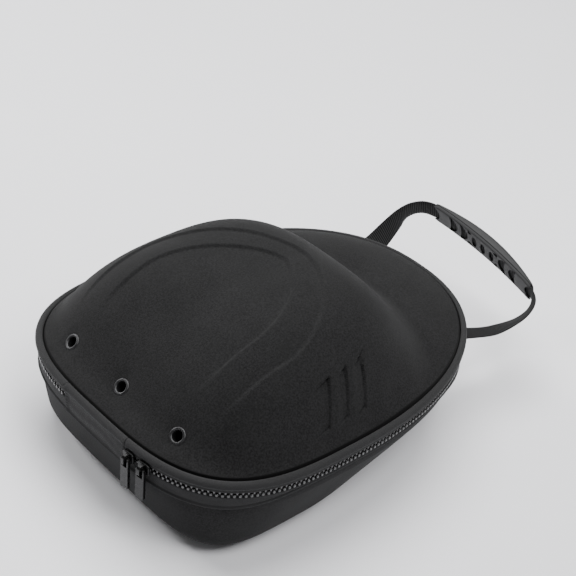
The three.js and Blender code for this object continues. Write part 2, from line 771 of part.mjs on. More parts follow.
// The grip swells towards its middle, mostly on the side away from the case
function gripLoop(part) {
  const at = gripPoint(part);
  const swell = Math.sin(Math.PI * part) ** 0.8;
  const tall = (GRIP.tallEnd + (GRIP.tallMiddle - GRIP.tallEnd) * swell) / 2;
  const outer = GRIP.outerEnd + (GRIP.outerMiddle - GRIP.outerEnd) * swell;
  const half = [
    [tall * 0.45, -outer * 0.96],
    [tall * 0.86, -outer * 0.72],
    [tall, -GRIP_EDGE],
    [tall, GRIP.inner - GRIP_EDGE],
    [tall - GRIP_EDGE, GRIP.inner],
  ];
  const mirrored = half.map(([w, f]) => [-w, f]).reverse();
  const section = [...mirrored, [0, -outer], ...half];
  return section.map(([w, f]) =>
    at.clone().addScaledVector(GRIP_WIDTH, w).addScaledVector(GRIP_FACE, f).toArray(),
  );
}

// Windows in the face of the grip, through which the webbing shows: place along and up, and shape.
// A crescent or mouth is placed by the middle of its bulge, and leans towards it
const WINDOWS = [
  { along: -47.5, up: 0, kind: "mouth", lean: 1 },
  { along: -28.7, up: 0, kind: "crescent", lean: 1 },
  { along: -17.7, up: 0, kind: "crescent", lean: 1 },
  { along: -15.2, up: 7.1, kind: "wedge", lean: 1 },
  { along: -15.2, up: -7.1, kind: "wedge", lean: 1 },
  { along: -10.9, up: -0.6, kind: "oval" },
  { along: -1.5, up: -0.6, kind: "oval" },
  { along: 8, up: -0.6, kind: "oval" },
  { along: 12.5, up: 7.1, kind: "wedge", lean: -1 },
  { along: 12.5, up: -7.1, kind: "wedge", lean: -1 },
  { along: 15.7, up: 0, kind: "crescent", lean: -1 },
  { along: 27.6, up: 0, kind: "crescent", lean: -1 },
  { along: 47.1, up: 0, kind: "mouth", lean: -1 },
];
const OVAL = { along: 1.9, up: 5.8, corners: 8 };
const CRESCENT = { bulge: 8.5, hollow: 2.9, up: 8.8, corners: 5 };
const WEDGE = { along: 1.7, up: 1.7 };

function windowOutline({ kind, lean }) {
  if (kind === "oval") {
    return Array.from({ length: OVAL.corners }, (_, step) => {
      const angle = (2 * Math.PI * step) / OVAL.corners;
      return [OVAL.along * Math.cos(angle), OVAL.up * Math.sin(angle)];
    });
  }
  const outline = [];
  if (kind === "wedge") {
    outline.push([lean * WEDGE.along, 0], [-lean * WEDGE.along, WEDGE.up], [-lean * WEDGE.along, -WEDGE.up]);
  } else {
    const { bulge, hollow, up, corners } = CRESCENT;
    for (let step = 0; step <= corners; step += 1) {
      const angle = -Math.PI / 2 + (Math.PI * step) / corners;
      outline.push([lean * (bulge * Math.cos(angle) - bulge), up * Math.sin(angle)]);
    }
    for (let step = 1; kind === "crescent" && step < corners; step += 1) {
      const angle = Math.PI / 2 - (Math.PI * step) / corners;
      outline.push([lean * (hollow * Math.cos(angle) - bulge), up * Math.sin(angle)]);
    }
  }
  return lean > 0 ? outline : outline.reverse();
}

function windowCut(place) {
  const middle = gripPoint(0.5 + place.along / GRIP_LENGTH).addScaledVector(GRIP_WIDTH, place.up);
  const ring = (out) =>
    windowOutline(place).map(([a, w]) =>
      middle
        .clone()
        .addScaledVector(GRIP_DIR, a)
        .addScaledVector(GRIP_WIDTH, w)
        .addScaledVector(GRIP_FACE, out)
        .toArray(),
    );
  const frame = new THREE.Matrix4().makeBasis(GRIP_DIR, GRIP_WIDTH, GRIP_FACE);
  const back = frame.clone().invert();
  const points = [...ring(WEBBING.thick / 2), ...ring(GRIP.inner + 2)];
  const count = points.length / 2;
  const faces = [];
  stitch(faces, 0, count, count, true);
  const flat = points.slice(0, count).map((p) => {
    const local = new THREE.Vector3(...p).applyMatrix4(back);
    return new THREE.Vector2(local.x, local.y);
  });
  for (const [a, b, c] of THREE.ShapeUtils.triangulateShape(flat, [])) {
    faces.push([a, c, b]);
    faces.push([count + a, count + b, count + c]);
  }
  return closedMesh(points, faces);
}

function gripBody() {
  let solid = toSolid(tubeSolid(GRIP_PARTS.map(gripLoop)));
  const tunnel = [-0.02, ...GRIP_PARTS.slice(1, -1), 1.02].map((part) =>
    strapLoop(gripStation(part), WEBBING.width / 2 + GAP, WEBBING.thick / 2 + GAP),
  );
  solid = solid.subtract(toSolid(tubeSolid(tunnel)));
  for (const place of WINDOWS) solid = solid.subtract(toSolid(windowCut(place)));
  return fromSolid(solid);
}

// The assembly
const part = new THREE.Group();
part.name = "cap_carrier";

function addPiece(name, geometry, colour, roughness, metalness = 0) {
  const material = new THREE.MeshStandardMaterial({ color: colour, roughness, metalness });
  const mesh = new THREE.Mesh(geometry, material);
  mesh.name = name;
  part.add(mesh);
}

addPiece("lid_shell", finishedLid(), 0x262627, 0.9);
addPiece("base_shell", baseShell(), 0x2d2d2e, 0.9);
addPiece("zip_tape_upper", rimBand(UPPER_TAPE, ZIP_ANGLES), 0x333334, 0.85);
addPiece("zip_chain", rimBand(CHAIN, ZIP_ANGLES), 0x555557, 0.5);
addPiece("zip_tape_lower", rimBand(LOWER_TAPE, ZIP_ANGLES), 0x303031, 0.85);
addPiece("hinge_panel", rimBand(HINGE_SECTION, HINGE_ANGLES), 0x303031, 0.85);
for (const place of EYELET_AT) addPiece(place.name, eyeletRing(place), 0x3a3a3c, 0.35, 0.9);
for (const { letter, y } of SLIDER_AT) {
  addPiece("slider_" + letter, sliderBody().applyMatrix4(trackFrame(y)), 0x1c1c1d, 0.3, 0.9);
  addPiece("pull_" + letter, pullTab().applyMatrix4(trackFrame(y)), 0x1c1c1d, 0.3, 0.9);
}
addPiece("handle_webbing", webbingStrap(), 0x2a2a2b, 0.85);
addPiece("handle_grip", gripBody(), 0x5f5f61, 0.6);

export default part;
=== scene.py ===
import math
from types import SimpleNamespace as Table

import bmesh
import bpy
import numpy as np
from mathutils import Matrix, Vector


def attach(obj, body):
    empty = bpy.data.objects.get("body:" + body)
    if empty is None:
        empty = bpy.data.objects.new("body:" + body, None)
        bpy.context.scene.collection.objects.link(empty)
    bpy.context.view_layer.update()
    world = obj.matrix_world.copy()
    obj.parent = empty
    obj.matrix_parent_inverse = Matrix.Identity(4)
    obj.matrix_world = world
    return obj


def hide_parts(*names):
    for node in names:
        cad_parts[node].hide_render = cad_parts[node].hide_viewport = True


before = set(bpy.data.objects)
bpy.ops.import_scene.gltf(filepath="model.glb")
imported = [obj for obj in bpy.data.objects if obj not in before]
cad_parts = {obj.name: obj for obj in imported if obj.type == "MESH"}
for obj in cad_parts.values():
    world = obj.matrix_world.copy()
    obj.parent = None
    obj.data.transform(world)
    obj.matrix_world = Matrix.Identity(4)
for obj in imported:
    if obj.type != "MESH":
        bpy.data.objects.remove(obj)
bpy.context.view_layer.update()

# Sizes are in millimetres, as in the part's source, and become metres when a mesh is made
MM = 0.001

# Shells: rim, crown, visor, sunken steps and tray
RIM = Table(centre=0, back=115.8, front=176.2, half=120, back_power=3.2, front_power=2.25)
WALL = 4
GAP = 0.35
CREASE_Z = 73
ZIP_Z = 64
BAND_FOOT_Z = 51
TAPE_RISE = Table(height=7.5, start=-100, full=-30, until=85, end=135)
CROWN = Table(centre=4, back=108.7, front=108.8, half=116.7, back_power=3.6, front_power=2.8)
CROWN_HEIGHT = 63.5
CROWN_SWELL = Table(back=2.5, side=3.8, front=3.5)
CROWN_LINING = 1.15
VISOR_RISE = 12.8
VISOR_REACH = 60
EDGE_RISE = 1.5
EDGE_REACH = 10
FOOT_BLEND = 6.6
FRONT_BLEND = Table(more=14, start=25, end=75)
FOOT_SHARE = 0.95
FLANGE_EDGE = 4
EDGE_TURN = Table(drop=2.2, inset=1.6, degrees=(25, 50, 72))
# Painted shade in the crease under the binding: the lid's colour is darkest up to start and plain beyond
# end, in millimetres in from the rim
CREASE_SHADE = Table(start=1.3, end=2.5)
STEP_DEPTH = 1.8
STEP_RUN = 3.6
STEP_POWERS = dict(back_power=6, front_power=1.8, tip_power=1.5)
OUTER_STEP = Table(centre=-25, back=70, front=81.5, half=78, **STEP_POWERS)
INNER_STEP = Table(centre=-38, back=51, front=76.5, half=55.5, **STEP_POWERS)
STEP_FADE = Table(start=-84, end=-52)
TRAY = Table(shift=-28, back_inset=14, side_inset=19.5, front_floor=110, back_power=5, front_power=1.7)
TRAY_ROUND = 18
RIM_FOOT_Z = BAND_FOOT_Z + 5
HINGE_HALF = 33
HINGE_SLIT = 0.4

# Louvres: the step of each from foot to head, its run back, and the lines pressed along its ends
LOUVRE = Table(depth=1.3, foot_fall=5, deepen=0.9, proud=0.4, soft=0.5, head_half=0.9, foot_half=0.7)
LOUVRE_STEPS = [
    Table(foot_x=-14, foot_z=85.5, head_x=-2.8, head_z=109.6, head_fall=4, run=24, line_run=14, over=0.5,
          head_line=1.3, foot_line=1.2),
    Table(foot_x=2.4, foot_z=87, head_x=12.5, head_z=111, head_fall=5, run=15, line_run=9, over=0.5,
          head_line=1.3, foot_line=1.2),
    Table(foot_x=17.8, foot_z=87, head_x=28, head_z=112.5, head_fall=5, run=15, line_run=11, over=7,
          head_line=1.9, foot_line=1.6),
]
LOUVRE_PLACE = Table(first_degree=70, last_degree=118, least_y=60)

# Sections of the band's strips: distance out from the rim, height, and share of the foot's rise
ROLL = [
    (3.2, 68.5, 0), (4.1, 69.8, 0), (4.0, 71.5, 0), (3.0, 72.9, 0),
    (1.5, 73.6, 0), (0.1, 73.3, 0), (-0.4, 72.3, 0), (0.35, 70.2, 0),
]
UPPER_SECTION = [(0.4, 67.4, 0), (1.7, 66.4, 0), (2.7, 66.1, 0), (3.2, 66.7, 0), *ROLL]
LOWER_SECTION = [
    (0.4, 51.3, 1), (1.5, 51, 1), (2.5, 51.2, 1), (2.8, 51.9, 1), (2.4, 52.7, 1), (2, 53.2, 0.9),
    (2.1, 55, 0.7), (2.3, 58, 0.3), (2.4, 61, 0), (1.7, 61.5, 0), (0.4, 60.5, 0), (0.4, 56, 0.5),
]
HINGE_SECTION = [
    (0.4, 51.3, 0), (1.5, 51, 0), (2.5, 51.2, 0), (2.8, 51.9, 0), (2.4, 52.7, 0), (2.2, 54, 0),
    (2.4, 57, 0), (2.6, 60, 0), (2.6, 64, 0), (2.8, 67, 0), *ROLL, (0.4, 62, 0),
]
CORE_SECTION = [
    (0.5, 61.1, 0), (1.3, 61.1, 0), (1.5, 64, 0), (1.3, 66.9, 0), (0.5, 66.9, 0), (0.4, 64, 0),
]

# Wrinkles of the strips: heights, and the waves' turn in radians for each millimetre
WRINKLE = Table(tape=0.06, hinge=0.1, seam=0.45, seam_reach=1.6, free_from=1, free_run=1.2)
PUCKER = Table(fine=0.9, slow=0.137, broad=0.41, broad_share=0.6, share=0.5)
FOLD = Table(up=0.75, along=0.05, sway=1.4, sway_along=0.12)
PINCH = Table(up=2.4, share=0.6)

# Hardware
EYELET = Table(hole=3.7, barrel=4.6, crest=4.85, flange=6.0, height=1.1, depth=5.2, seat=-0.15)
EYELET_ROLL = Table(sides=64, turns=15, lip=0.3, power=0.9)
EYELET_CUT = Table(sides=40, reach=(-14, 6), room=0.1)
EYELET_AT = dict(eyelet_far=(-96, 58), eyelet_middle=(-97.3, 0), eyelet_near=(-96, -58))
EYELET_DIMPLE = Table(depth=0.6, reach=7.4)
SLIDER_AT = dict(a=-39.5, b=-52.8)
SLIDER = Table(inner=3.6, plate=5.8, half=4.9, neck=3.1, tall=4.3, nose=1.6, tail=1.2, bevel=0.7)
SLIDER_ARM = Table(root=5.3, top=10.4, half=1.1, wall=0.9, reach=3.7, bend=1.5, turns=7, bevel=0.18)
PULL_AXIS_OUT = 7.6
PULL = Table(head=3.6, foot=3.8, thick=2.2, top=1, length=24, head_cut=0.9, foot_cut=1.2, bevel=0.32)
PULL_EYE = Table(top=0.95, foot=5.6, half=2.1, past=2)
TOOTH = Table(pitch=3.5, wide=2, tall=2.5, low=0.6, high=3.4, corner=0.7, past=0.4, recess=0.9)
TOOTH_RING = Table(sides=12, power=0.55)
TOOTH_TOP = [(1, 1), (0.3, 0.9), (0, 0.68)]

# Handle: rows of the strap's legs are x, y, z and the turn of its width in degrees
WEBBING = Table(width=17.5, thick=1.6, rib_pitch=2.0, rib=0.22, thin_edge=0.55, edge_power=8)
FAR_LEG = [
    (171.4, 50, 57, 38),
    (188, 54.2, 58.5, 50),
    (203, 58, 62, 63),
    (219, 61.8, 66, 81),
    (231, 62.5, 69.5, 108),
    (240, 57, 71.6, 118),
]
NEAR_LEG = [
    (239.6, -64.2, 52.8, 92),
    (231, -68.8, 50.8, 62),
    (217, -71.4, 49.6, 42),
    (202.5, -71, 49.4, 28),
    (185, -69.5, 50.6, 16),
    (162.7, -65, 55.6, 10),
]
ROOT_TUCK = 6
GRIP_FAR = np.array((244.5, 47, 71.6))
GRIP_NEAR = np.array((244.5, -58.5, 54.6))
GRIP_TURN = 114
GRIP = Table(tall_end=19.2, tall_middle=20, inner=2.3, outer_end=2.4, outer_middle=8.4, edge=1.3,
             edge_round=0.3, groove=0.45, swell_power=0.8)
GRIP_BACK = [(0.45, 0.96), (0.86, 0.72)]
GRIP_BOW = 3.5
GRIP_END = Table(lead=0.034, side=0.16, face=0.1)
GRIP_LEAD = 0.06
GRIP_LIFT = Table(height=0.1, lead=9)
GRIP_TUNNEL = Table(past=0.02, start=0.05, rows=20)

# Windows of the grip: place along and across it, kind, and the way it points
WINDOWS = [
    (-47.5, 0, "mouth", 1),
    (-28.7, 0, "crescent", 1),
    (-17.7, 0, "crescent", 1),
    (-15.2, 7.1, "wedge", 1),
    (-15.2, -7.1, "wedge", 1),
    (-10.9, -0.6, "oval", 1),
    (-1.5, -0.6, "oval", 1),
    (8, -0.6, "oval", 1),
    (12.5, 7.1, "wedge", -1),
    (12.5, -7.1, "wedge", -1),
    (15.7, 0, "crescent", -1),
    (27.6, 0, "crescent", -1),
    (47.1, 0, "mouth", -1),
]
WINDOW_PAST = 2
OVAL = Table(along=2.6, up=6.2, sides=28)
CRESCENT = Table(bulge=9.6, hollow=2.4, up=9.2, turns=17)
WEDGE = Table(along=2.2, up=2.1, scale=0.9, per_side=6)

# How finely the meshes are divided: spacings in millimetres, and counts of rows
RIM_SAMPLES = 4001
HALVINGS = 60
SLOPE_STEP = 0.4
LOUVRE_PASSES = 6
LID_SPACING = Table(coarse=3.2, fine=0.62)
LID_ROWS = Table(edge=4, flange=24, wall=70, wall_power=1.2, step=7, ledge=12, top=20, lip=3)
LINING = Table(start=0.2, inset=2, rows=(6, 8, 5, 5), sinks=(0.6, 0.8, 1, 1.2, 1.4, 1.6, 1.8, 1.9, 2, 2))
BASE_SPACING = 2.2
BASE_ROWS = Table(round=24, wall=24, lining=14)
FLOOR_SHARES = Table(outer=(0.15, 0.4, 0.7, 0.92), inner=(0.6, 0.15))
BAND_SPACING = 1.2
BAND_PER_POINT = 5
STRAP_ROWS = Table(leg=240, grip=60, per_rib=4, across=9, soften=60)
GRIP_ROWS = Table(ends=(0, 0.004, 0.012, 0.022), middle=60, per_point=3)

# Stage: floor in millimetres, lamps and camera in metres, watts and degrees, photo in its pixels
FLOOR_REACH = 6000
WORLD_LIGHT = 0.21
LIGHT_AIM = Vector((0.03, 0, 0.07))
LAMPS = [
    Table(name="top light", spot=(0.4, 0.4, 1.6), size=1.6, power=43),
    Table(name="front light", spot=(0.1, -1.0, 1.7), size=1.0, power=23),
    Table(name="left light", spot=(-0.45, 1.4, 0.8), size=0.5, power=19),
    Table(name="right light", spot=(0.4, -1.2, 1.3), size=0.24, power=3),
]
CAMERA = Table(azimuth=-42.24, elevation=37.88, roll=4.74, distance=1.0, aim_z=0.073, sensor=36)
PHOTO = Table(size=576, focal=1457.04, centre_x=236.04, centre_y=347.24)


# Outlines and heights
def smooth(value):
    value = np.clip(value, 0, 1)
    return value * value * (3 - 2 * value)


def radius(shape, angle, grow=0.0):
    """Radius of an outline of two half superellipses, whose front may come to a softer tip."""
    angle = np.asarray(angle, float)
    forward = np.cos(angle) >= 0
    along = np.where(forward, shape.front, shape.back) + grow
    power = np.where(forward, shape.front_power, shape.back_power)
    u = np.abs(np.cos(angle)) / along
    v = np.abs(np.sin(angle)) / (shape.half + grow)
    plain = 1 / (u**power + v**power) ** (1 / power)
    if not hasattr(shape, "tip_power"):
        return plain
    low = np.zeros_like(plain)
    high = along + shape.half + grow
    for _ in range(HALVINGS):
        middle = (low + high) / 2
        inside = (middle * u) ** power + (middle * v) ** shape.tip_power < 1
        low = np.where(inside, middle, low)
        high = np.where(inside, high, middle)
    return np.where(forward, (low + high) / 2, plain)


def outline(shape, angle, grow=0.0):
    r = radius(shape, angle, grow)
    return np.stack([shape.centre + r * np.cos(angle), r * np.sin(angle)], -1)


def back_angle(y):
    """Angle at which the back of the rim has the given y."""
    low, high = math.pi / 2, math.pi
    for _ in range(HALVINGS):
        middle = (low + high) / 2
        if outline(RIM, middle)[1] > abs(y):
            low = middle
        else:
            high = middle
    return middle if y >= 0 else 2 * math.pi - middle


def spaced_angles(start, end, spacing):
    """Angles that are evenly spaced along the rim, and the length of that stretch."""
    fine = np.linspace(start, end, RIM_SAMPLES)
    lengths = path_lengths(outline(RIM, fine))
    count = max(int(round(lengths[-1] / spacing)), 1)
    return np.interp(np.linspace(0, lengths[-1], count + 1), lengths, fine), lengths[-1]


def crown_height(x, y, shrink=0.0):
    angle = np.arctan2(y, x - CROWN.centre)
    away = np.hypot(x - CROWN.centre, y)
    c, s = np.cos(angle), np.sin(angle)
    end = np.where(c < 0, CROWN_SWELL.back, CROWN_SWELL.front)
    swell = CROWN_SWELL.side * s * s + end * c * c
    part = away / (radius(CROWN, angle) - shrink * CROWN_LINING)
    return (CROWN_HEIGHT - shrink) * (1 - part**swell)


def visor_height(x, y, shrink=0.0):
    inward = np.maximum(radius(RIM, np.arctan2(y, x)) - np.hypot(x, y), 0)
    part = np.minimum(inward / VISOR_REACH, 1)
    edge = EDGE_RISE * (1 - np.exp(-inward / EDGE_REACH))
    return edge + VISOR_RISE * (1 - (1 - part) ** 2) - shrink


def lid_height(x, y, shrink=0.0):
    """Height of the lid: the higher of crown and visor, with a fillet that is wider in front."""
    crown = crown_height(x, y, shrink)
    visor = visor_height(x, y, shrink)
    ahead = smooth((x - FRONT_BLEND.start) / (FRONT_BLEND.end - FRONT_BLEND.start))
    blend = FOOT_BLEND + FRONT_BLEND.more * ahead
    mix = np.clip(0.5 + 0.5 * (crown - visor) / blend, 0, 1)
    return CREASE_Z + visor * (1 - mix) + crown * mix + blend * mix * (1 - mix)


def lid_normal(x, y):
    e = SLOPE_STEP
    dx = (lid_height(x + e, y) - lid_height(x - e, y)) / (2 * e)
    dy = (lid_height(x, y + e) - lid_height(x, y - e)) / (2 * e)
    normal = np.stack([-dx, -dy, np.ones_like(dx)], -1)
    return normal / np.linalg.norm(normal, axis=-1, keepdims=True)


def foot_rise(x):
    rise = smooth((x - TAPE_RISE.start) / (TAPE_RISE.full - TAPE_RISE.start))
    fall = smooth((TAPE_RISE.end - x) / (TAPE_RISE.end - TAPE_RISE.until))
    return TAPE_RISE.height * rise * fall


def step_fade(x):
    return smooth((x - STEP_FADE.start) / (STEP_FADE.end - STEP_FADE.start))


# Mesh helpers
def grid_faces(rows, columns, around_rows, around_columns):
    row = np.arange(rows if around_rows else rows - 1)[:, None]
    column = np.arange(columns if around_columns else columns - 1)[None]
    next_row = (row + 1) % rows
    next_column = (column + 1) % columns
    corners = [row * columns + column, row * columns + next_column,
               next_row * columns + next_column, next_row * columns + column]
    return np.stack([c + 0 * corners[0] for c in corners], -1).reshape(-1, 4).tolist()


def tube_faces(rows, around):
    """Faces of a row of closed loops, with a flat cap at both ends."""
    faces = grid_faces(rows, around, False, True)
    faces.append(list(range(around - 1, -1, -1)))
    faces.append([(rows - 1) * around + index for index in range(around)])
    return faces


def shell_faces(rows, around):
    """Faces of a row of closed loops, with fans to the first row's tip and then the last row's."""
    faces = grid_faces(rows, around, False, True)
    last, tips = (rows - 1) * around, rows * around
    for index in range(around):
        following = (index + 1) % around
        faces.append([following, index, tips])
        faces.append([last + index, last + following, tips + 1])
    return faces


def mesh_object(name, points, faces):
    mesh = bpy.data.meshes.new(name)
    mesh.from_pydata((np.asarray(points, float) * MM).tolist(), [], faces)
    made = bpy.data.objects.new(name, mesh)
    bpy.context.scene.collection.objects.link(made)
    return made


def new_piece(name, points, faces, material, body="case", sharp=35):
    piece = mesh_object(name, points, faces)
    piece.data.materials.append(material)
    clean_normals(piece, sharp)
    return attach(piece, body)


def clean_normals(piece, sharp):
    """Turns faces outwards and shades them smooth, except over edges past the given degrees."""
    work = bmesh.new()
    work.from_mesh(piece.data)
    bmesh.ops.recalc_face_normals(work, faces=work.faces)
    work.to_mesh(piece.data)
    work.free()
    piece.data.polygons.foreach_set("use_smooth", [True] * len(piece.data.polygons))
    piece.data.set_sharp_from_angle(angle=math.radians(sharp))
    piece.data.update()


def modify(piece, kind, **settings):
    """Applies one modifier to a piece."""
    change = piece.modifiers.new("change", kind)
    for key, value in settings.items():
        setattr(change, key, value)
    graph = bpy.context.evaluated_depsgraph_get()
    made = bpy.data.meshes.new_from_object(piece.evaluated_get(graph))
    piece.modifiers.clear()
    piece.data = made


def boolean(piece, points, faces, operation="DIFFERENCE"):
    """Cuts the closed body of the given points and faces out of a piece, or joins it on."""
    tool = mesh_object("tool", points, faces)
    clean_normals(tool, sharp=180)
    modify(piece, "BOOLEAN", operation=operation, solver="MANIFOLD", object=tool)
    bpy.data.objects.remove(tool)


def bevel(piece, width, segments, degrees):
    modify(piece, "BEVEL", width=width * MM, segments=segments, limit_method="ANGLE",
           angle_limit=math.radians(degrees))


def flatten(piece):
    """Gives flat faces even shading between their bevels."""
    modify(piece, "WEIGHTED_NORMAL", keep_sharp=True, weight=100)


def prism(loop_low, loop_high):
    return np.concatenate([loop_low, loop_high]), tube_faces(2, len(loop_low))


def level(spots, z):
    """Plan points at one height."""
    return np.column_stack([spots, np.full(len(spots), float(z))])


def circle(r, count):
    angle = np.linspace(0, 2 * math.pi, count, endpoint=False)
    return np.column_stack([r * np.cos(angle), r * np.sin(angle)])


def place_points(place_frame, points):
    turn, origin = place_frame
    return points @ turn.T + origin


def closed_curve(points, per):
    """A smooth closed curve through a few points."""
    points = np.asarray(points, float)
    t = np.linspace(0, 1, per, endpoint=False)[:, None]
    made = []
    for index in range(len(points)):
        a, b, c, d = (points[(index + k) % len(points)] for k in (-1, 0, 1, 2))
        made.append(0.5 * (2 * b + (c - a) * t + (2 * a - 5 * b + 4 * c - d) * t**2
                           + (3 * b - a - 3 * c + d) * t**3))
    return np.concatenate(made)


def path_lengths(points):
    """Length from the start of a path to each of its points."""
    steps = np.linalg.norm(np.diff(points, axis=0), axis=1)
    return np.concatenate([[0], np.cumsum(steps)])


def mark_lengths(piece, columns, along, across):
    """Gives a grid piece a map in metres: along its columns and across its rows."""
    layer = piece.data.uv_layers.new(name="lengths")
    vertex = np.zeros(len(piece.data.loops), int)
    piece.data.loops.foreach_get("vertex_index", vertex)
    column = vertex % columns
    row = np.minimum(vertex // columns, len(across) - 1)
    flat = np.stack([along[column], across[row]], -1) * MM
    layer.data.foreach_set("uv", flat.astype(np.float32).ravel())


# Materials: radians that a band texture turns for each unit of its scale
BAND_TURN = 20


def grey(value):
    """A grey with a faint cool tint."""
    return (value, value, value * 1.03, 1)


class Finish:
    """One procedural material: colour, roughness and bump from textures."""

    def __init__(self, name, roughness, metallic=0.0, specular=0.5, sheen=0.0, sheen_roughness=0.5,
                 coat=0.0):
        self.material = bpy.data.materials.new(name)
        self.material.use_nodes = True
        self.tree = self.material.node_tree
        self.shader = self.tree.nodes["Principled BSDF"].inputs
        values = {"Roughness": roughness, "Metallic": metallic, "Specular IOR Level": specular,
                  "Sheen Weight": sheen, "Sheen Roughness": sheen_roughness, "Coat Weight": coat}
        for socket, value in values.items():
            self.shader[socket].default_value = value
        self.place = self.node("ShaderNodeTexCoord", {}, {}).outputs
        self.normal = None

    def node(self, kind, settings, inputs):
        """Adds a node. Each input is a plain value, or the socket that feeds it."""
        made = self.tree.nodes.new(kind)
        for key, value in settings.items():
            setattr(made, key, value)
        for key, value in inputs.items():
            if isinstance(value, bpy.types.NodeSocket):
                self.tree.links.new(value, made.inputs[key])
            else:
                made.inputs[key].default_value = value
        return made

    def noise(self, scale, detail, rough):
        inputs = {"Vector": self.place["Object"], "Scale": scale, "Detail": detail, "Roughness": rough}
        return self.node("ShaderNodeTexNoise", {}, inputs).outputs["Fac"]

    def cells(self, scale):
        inputs = {"Vector": self.place["Object"], "Scale": scale}
        return self.node("ShaderNodeTexVoronoi", {"feature": "F1"}, inputs).outputs["Distance"]

    def bands(self, scale, direction, distortion=0.0):
        settings = {"wave_type": "BANDS", "bands_direction": direction, "wave_profile": "SIN"}
        inputs = {"Vector": self.place["UV"], "Scale": scale, "Distortion": distortion,
                  "Detail": 1.0, "Detail Scale": 1.5}
        return self.node("ShaderNodeTexWave", settings, inputs).outputs["Fac"]

    def marked(self, name):
        return self.node("ShaderNodeAttribute", {"attribute_name": name}, {}).outputs["Fac"]

    def mix(self, first, second, operation):
        return self.node("ShaderNodeMath", {"operation": operation}, {0: first, 1: second}).outputs[0]

    def ramp(self, source, low, high, start=0.3, end=0.7):
        inputs = {"Value": source, "From Min": start, "From Max": end, "To Min": low, "To Max": high}
        return self.node("ShaderNodeMapRange", {"clamp": True}, inputs).outputs["Result"]

    def colour(self, source, low, high, start=0.3, end=0.7, floor=None):
        made = self.node("ShaderNodeValToRGB", {}, {"Fac": source})
        stops = made.color_ramp.elements
        stops[0].position = start
        stops[0].color = grey(low)
        stops[1].position = end
        stops[1].color = grey(high)
        if floor is not None:
            stops.new(0).color = grey(floor)
        self.tree.links.new(made.outputs["Color"], self.shader["Base Color"])

    def roughness(self, source, low, high, start=0.3, end=0.7):
        self.tree.links.new(self.ramp(source, low, high, start, end), self.shader["Roughness"])

    def bump(self, source, strength, depth):
        inputs = {"Height": source, "Strength": strength, "Distance": depth * MM}
        if self.normal is not None:
            inputs["Normal"] = self.normal
        self.normal = self.node("ShaderNodeBump", {}, inputs).outputs["Normal"]
        self.tree.links.new(self.normal, self.shader["Normal"])


def shell_cloth(name, dark, light, crease=None):
    """Brushed cloth over the shells, and painted shade darkening it towards the crease where that
    shade's tone is given.
    """
    finish = Finish(name, roughness=0.9, specular=0.1, sheen=0.04, sheen_roughness=0.5)
    grain = finish.noise(scale=820, detail=3, rough=0.65)
    drift = finish.noise(scale=45, detail=2, rough=0.5)
    loops = finish.cells(scale=1250)
    tone = finish.mix(grain, finish.ramp(drift, low=-0.03, high=0.03), "ADD")
    # Painted shade: the tone is multiplied by the lid's crease mark, so the cloth darkens towards the
    # crease
    if crease is not None:
        tone = finish.mix(tone, finish.marked("edge_shade"), "MULTIPLY")
    finish.colour(tone, dark, light, start=0.36, end=0.64, floor=crease)
    finish.roughness(grain, low=0.8, high=0.96)
    finish.bump(loops, strength=0.5, depth=0.14)
    finish.bump(grain, strength=0.4, depth=0.2)
    return finish.material


def woven_cloth(name, dark, light, along, across):
    """Tape: fine threads both ways with a little fuzz."""
    finish = Finish(name, roughness=0.8, specular=0.15, sheen=0.05, sheen_roughness=0.4)
    warp = finish.bands(along, "X", distortion=0.4)
    weft = finish.bands(across, "Y", distortion=0.2)
    fuzz = finish.noise(scale=1000, detail=2, rough=0.6)
    weave = finish.mix(warp, weft, "MULTIPLY")
    finish.colour(finish.mix(weave, fuzz, "ADD"), dark, light, start=0.35, end=1.25)
    finish.roughness(fuzz, low=0.72, high=0.92)
    finish.bump(weave, strength=0.5, depth=0.12)
    finish.bump(fuzz, strength=0.35, depth=0.1)
    return finish.material


def ribbed_cloth(name, dark, light, pitch):
    """Webbing: painted shade in a band between each rib and the next, one every pitch along the strap,
    with fine threads across.
    """
    finish = Finish(name, roughness=0.8, specular=0.12, sheen=0.04, sheen_roughness=0.4)
    # Painted shade: the colour darkens in the hollow between one rib and the next, beyond what the
    # strap's relief shades
    rib_shade = finish.bands(2 * math.pi / (BAND_TURN * pitch * MM), "Y")
    threads = finish.bands(700, "X", distortion=0.6)
    fuzz = finish.noise(scale=1100, detail=2, rough=0.6)
    tone = finish.mix(rib_shade, finish.ramp(fuzz, low=-0.25, high=0.25), "ADD")
    finish.colour(tone, dark, light, start=0.1, end=0.95)
    finish.roughness(fuzz, low=0.72, high=0.92)
    finish.bump(threads, strength=0.4, depth=0.08)
    finish.bump(fuzz, strength=0.3, depth=0.08)
    return finish.material


def moulded(name, dark, light, rough_low, rough_high, specular):
    """Moulded rubber or plastic with a fine grain."""
    finish = Finish(name, rough_low, specular=specular)
    grain = finish.noise(scale=1500, detail=2, rough=0.5)
    drift = finish.noise(scale=120, detail=2, rough=0.5)
    tone = finish.mix(grain, finish.ramp(drift, low=-0.1, high=0.1), "ADD")
    finish.colour(tone, dark, light, start=0.3, end=0.7)
    finish.roughness(finish.mix(grain, drift, "MULTIPLY"), rough_low, rough_high, start=0.1, end=0.4)
    finish.bump(grain, strength=0.25, depth=0.05)
    return finish.material


def painted_metal(name, dark, light, rough_low, rough_high, metallic, coat):
    """Dark metal with small scuffs and an uneven gloss."""
    finish = Finish(name, rough_low, metallic=metallic, coat=coat)
    drift = finish.noise(scale=350, detail=3, rough=0.6)
    scuff = finish.noise(scale=2600, detail=2, rough=0.6)
    finish.colour(scuff, dark, light, start=0.35, end=0.75)
    finish.roughness(drift, rough_low, rough_high)
    finish.bump(drift, strength=0.12, depth=0.08)
    return finish.material
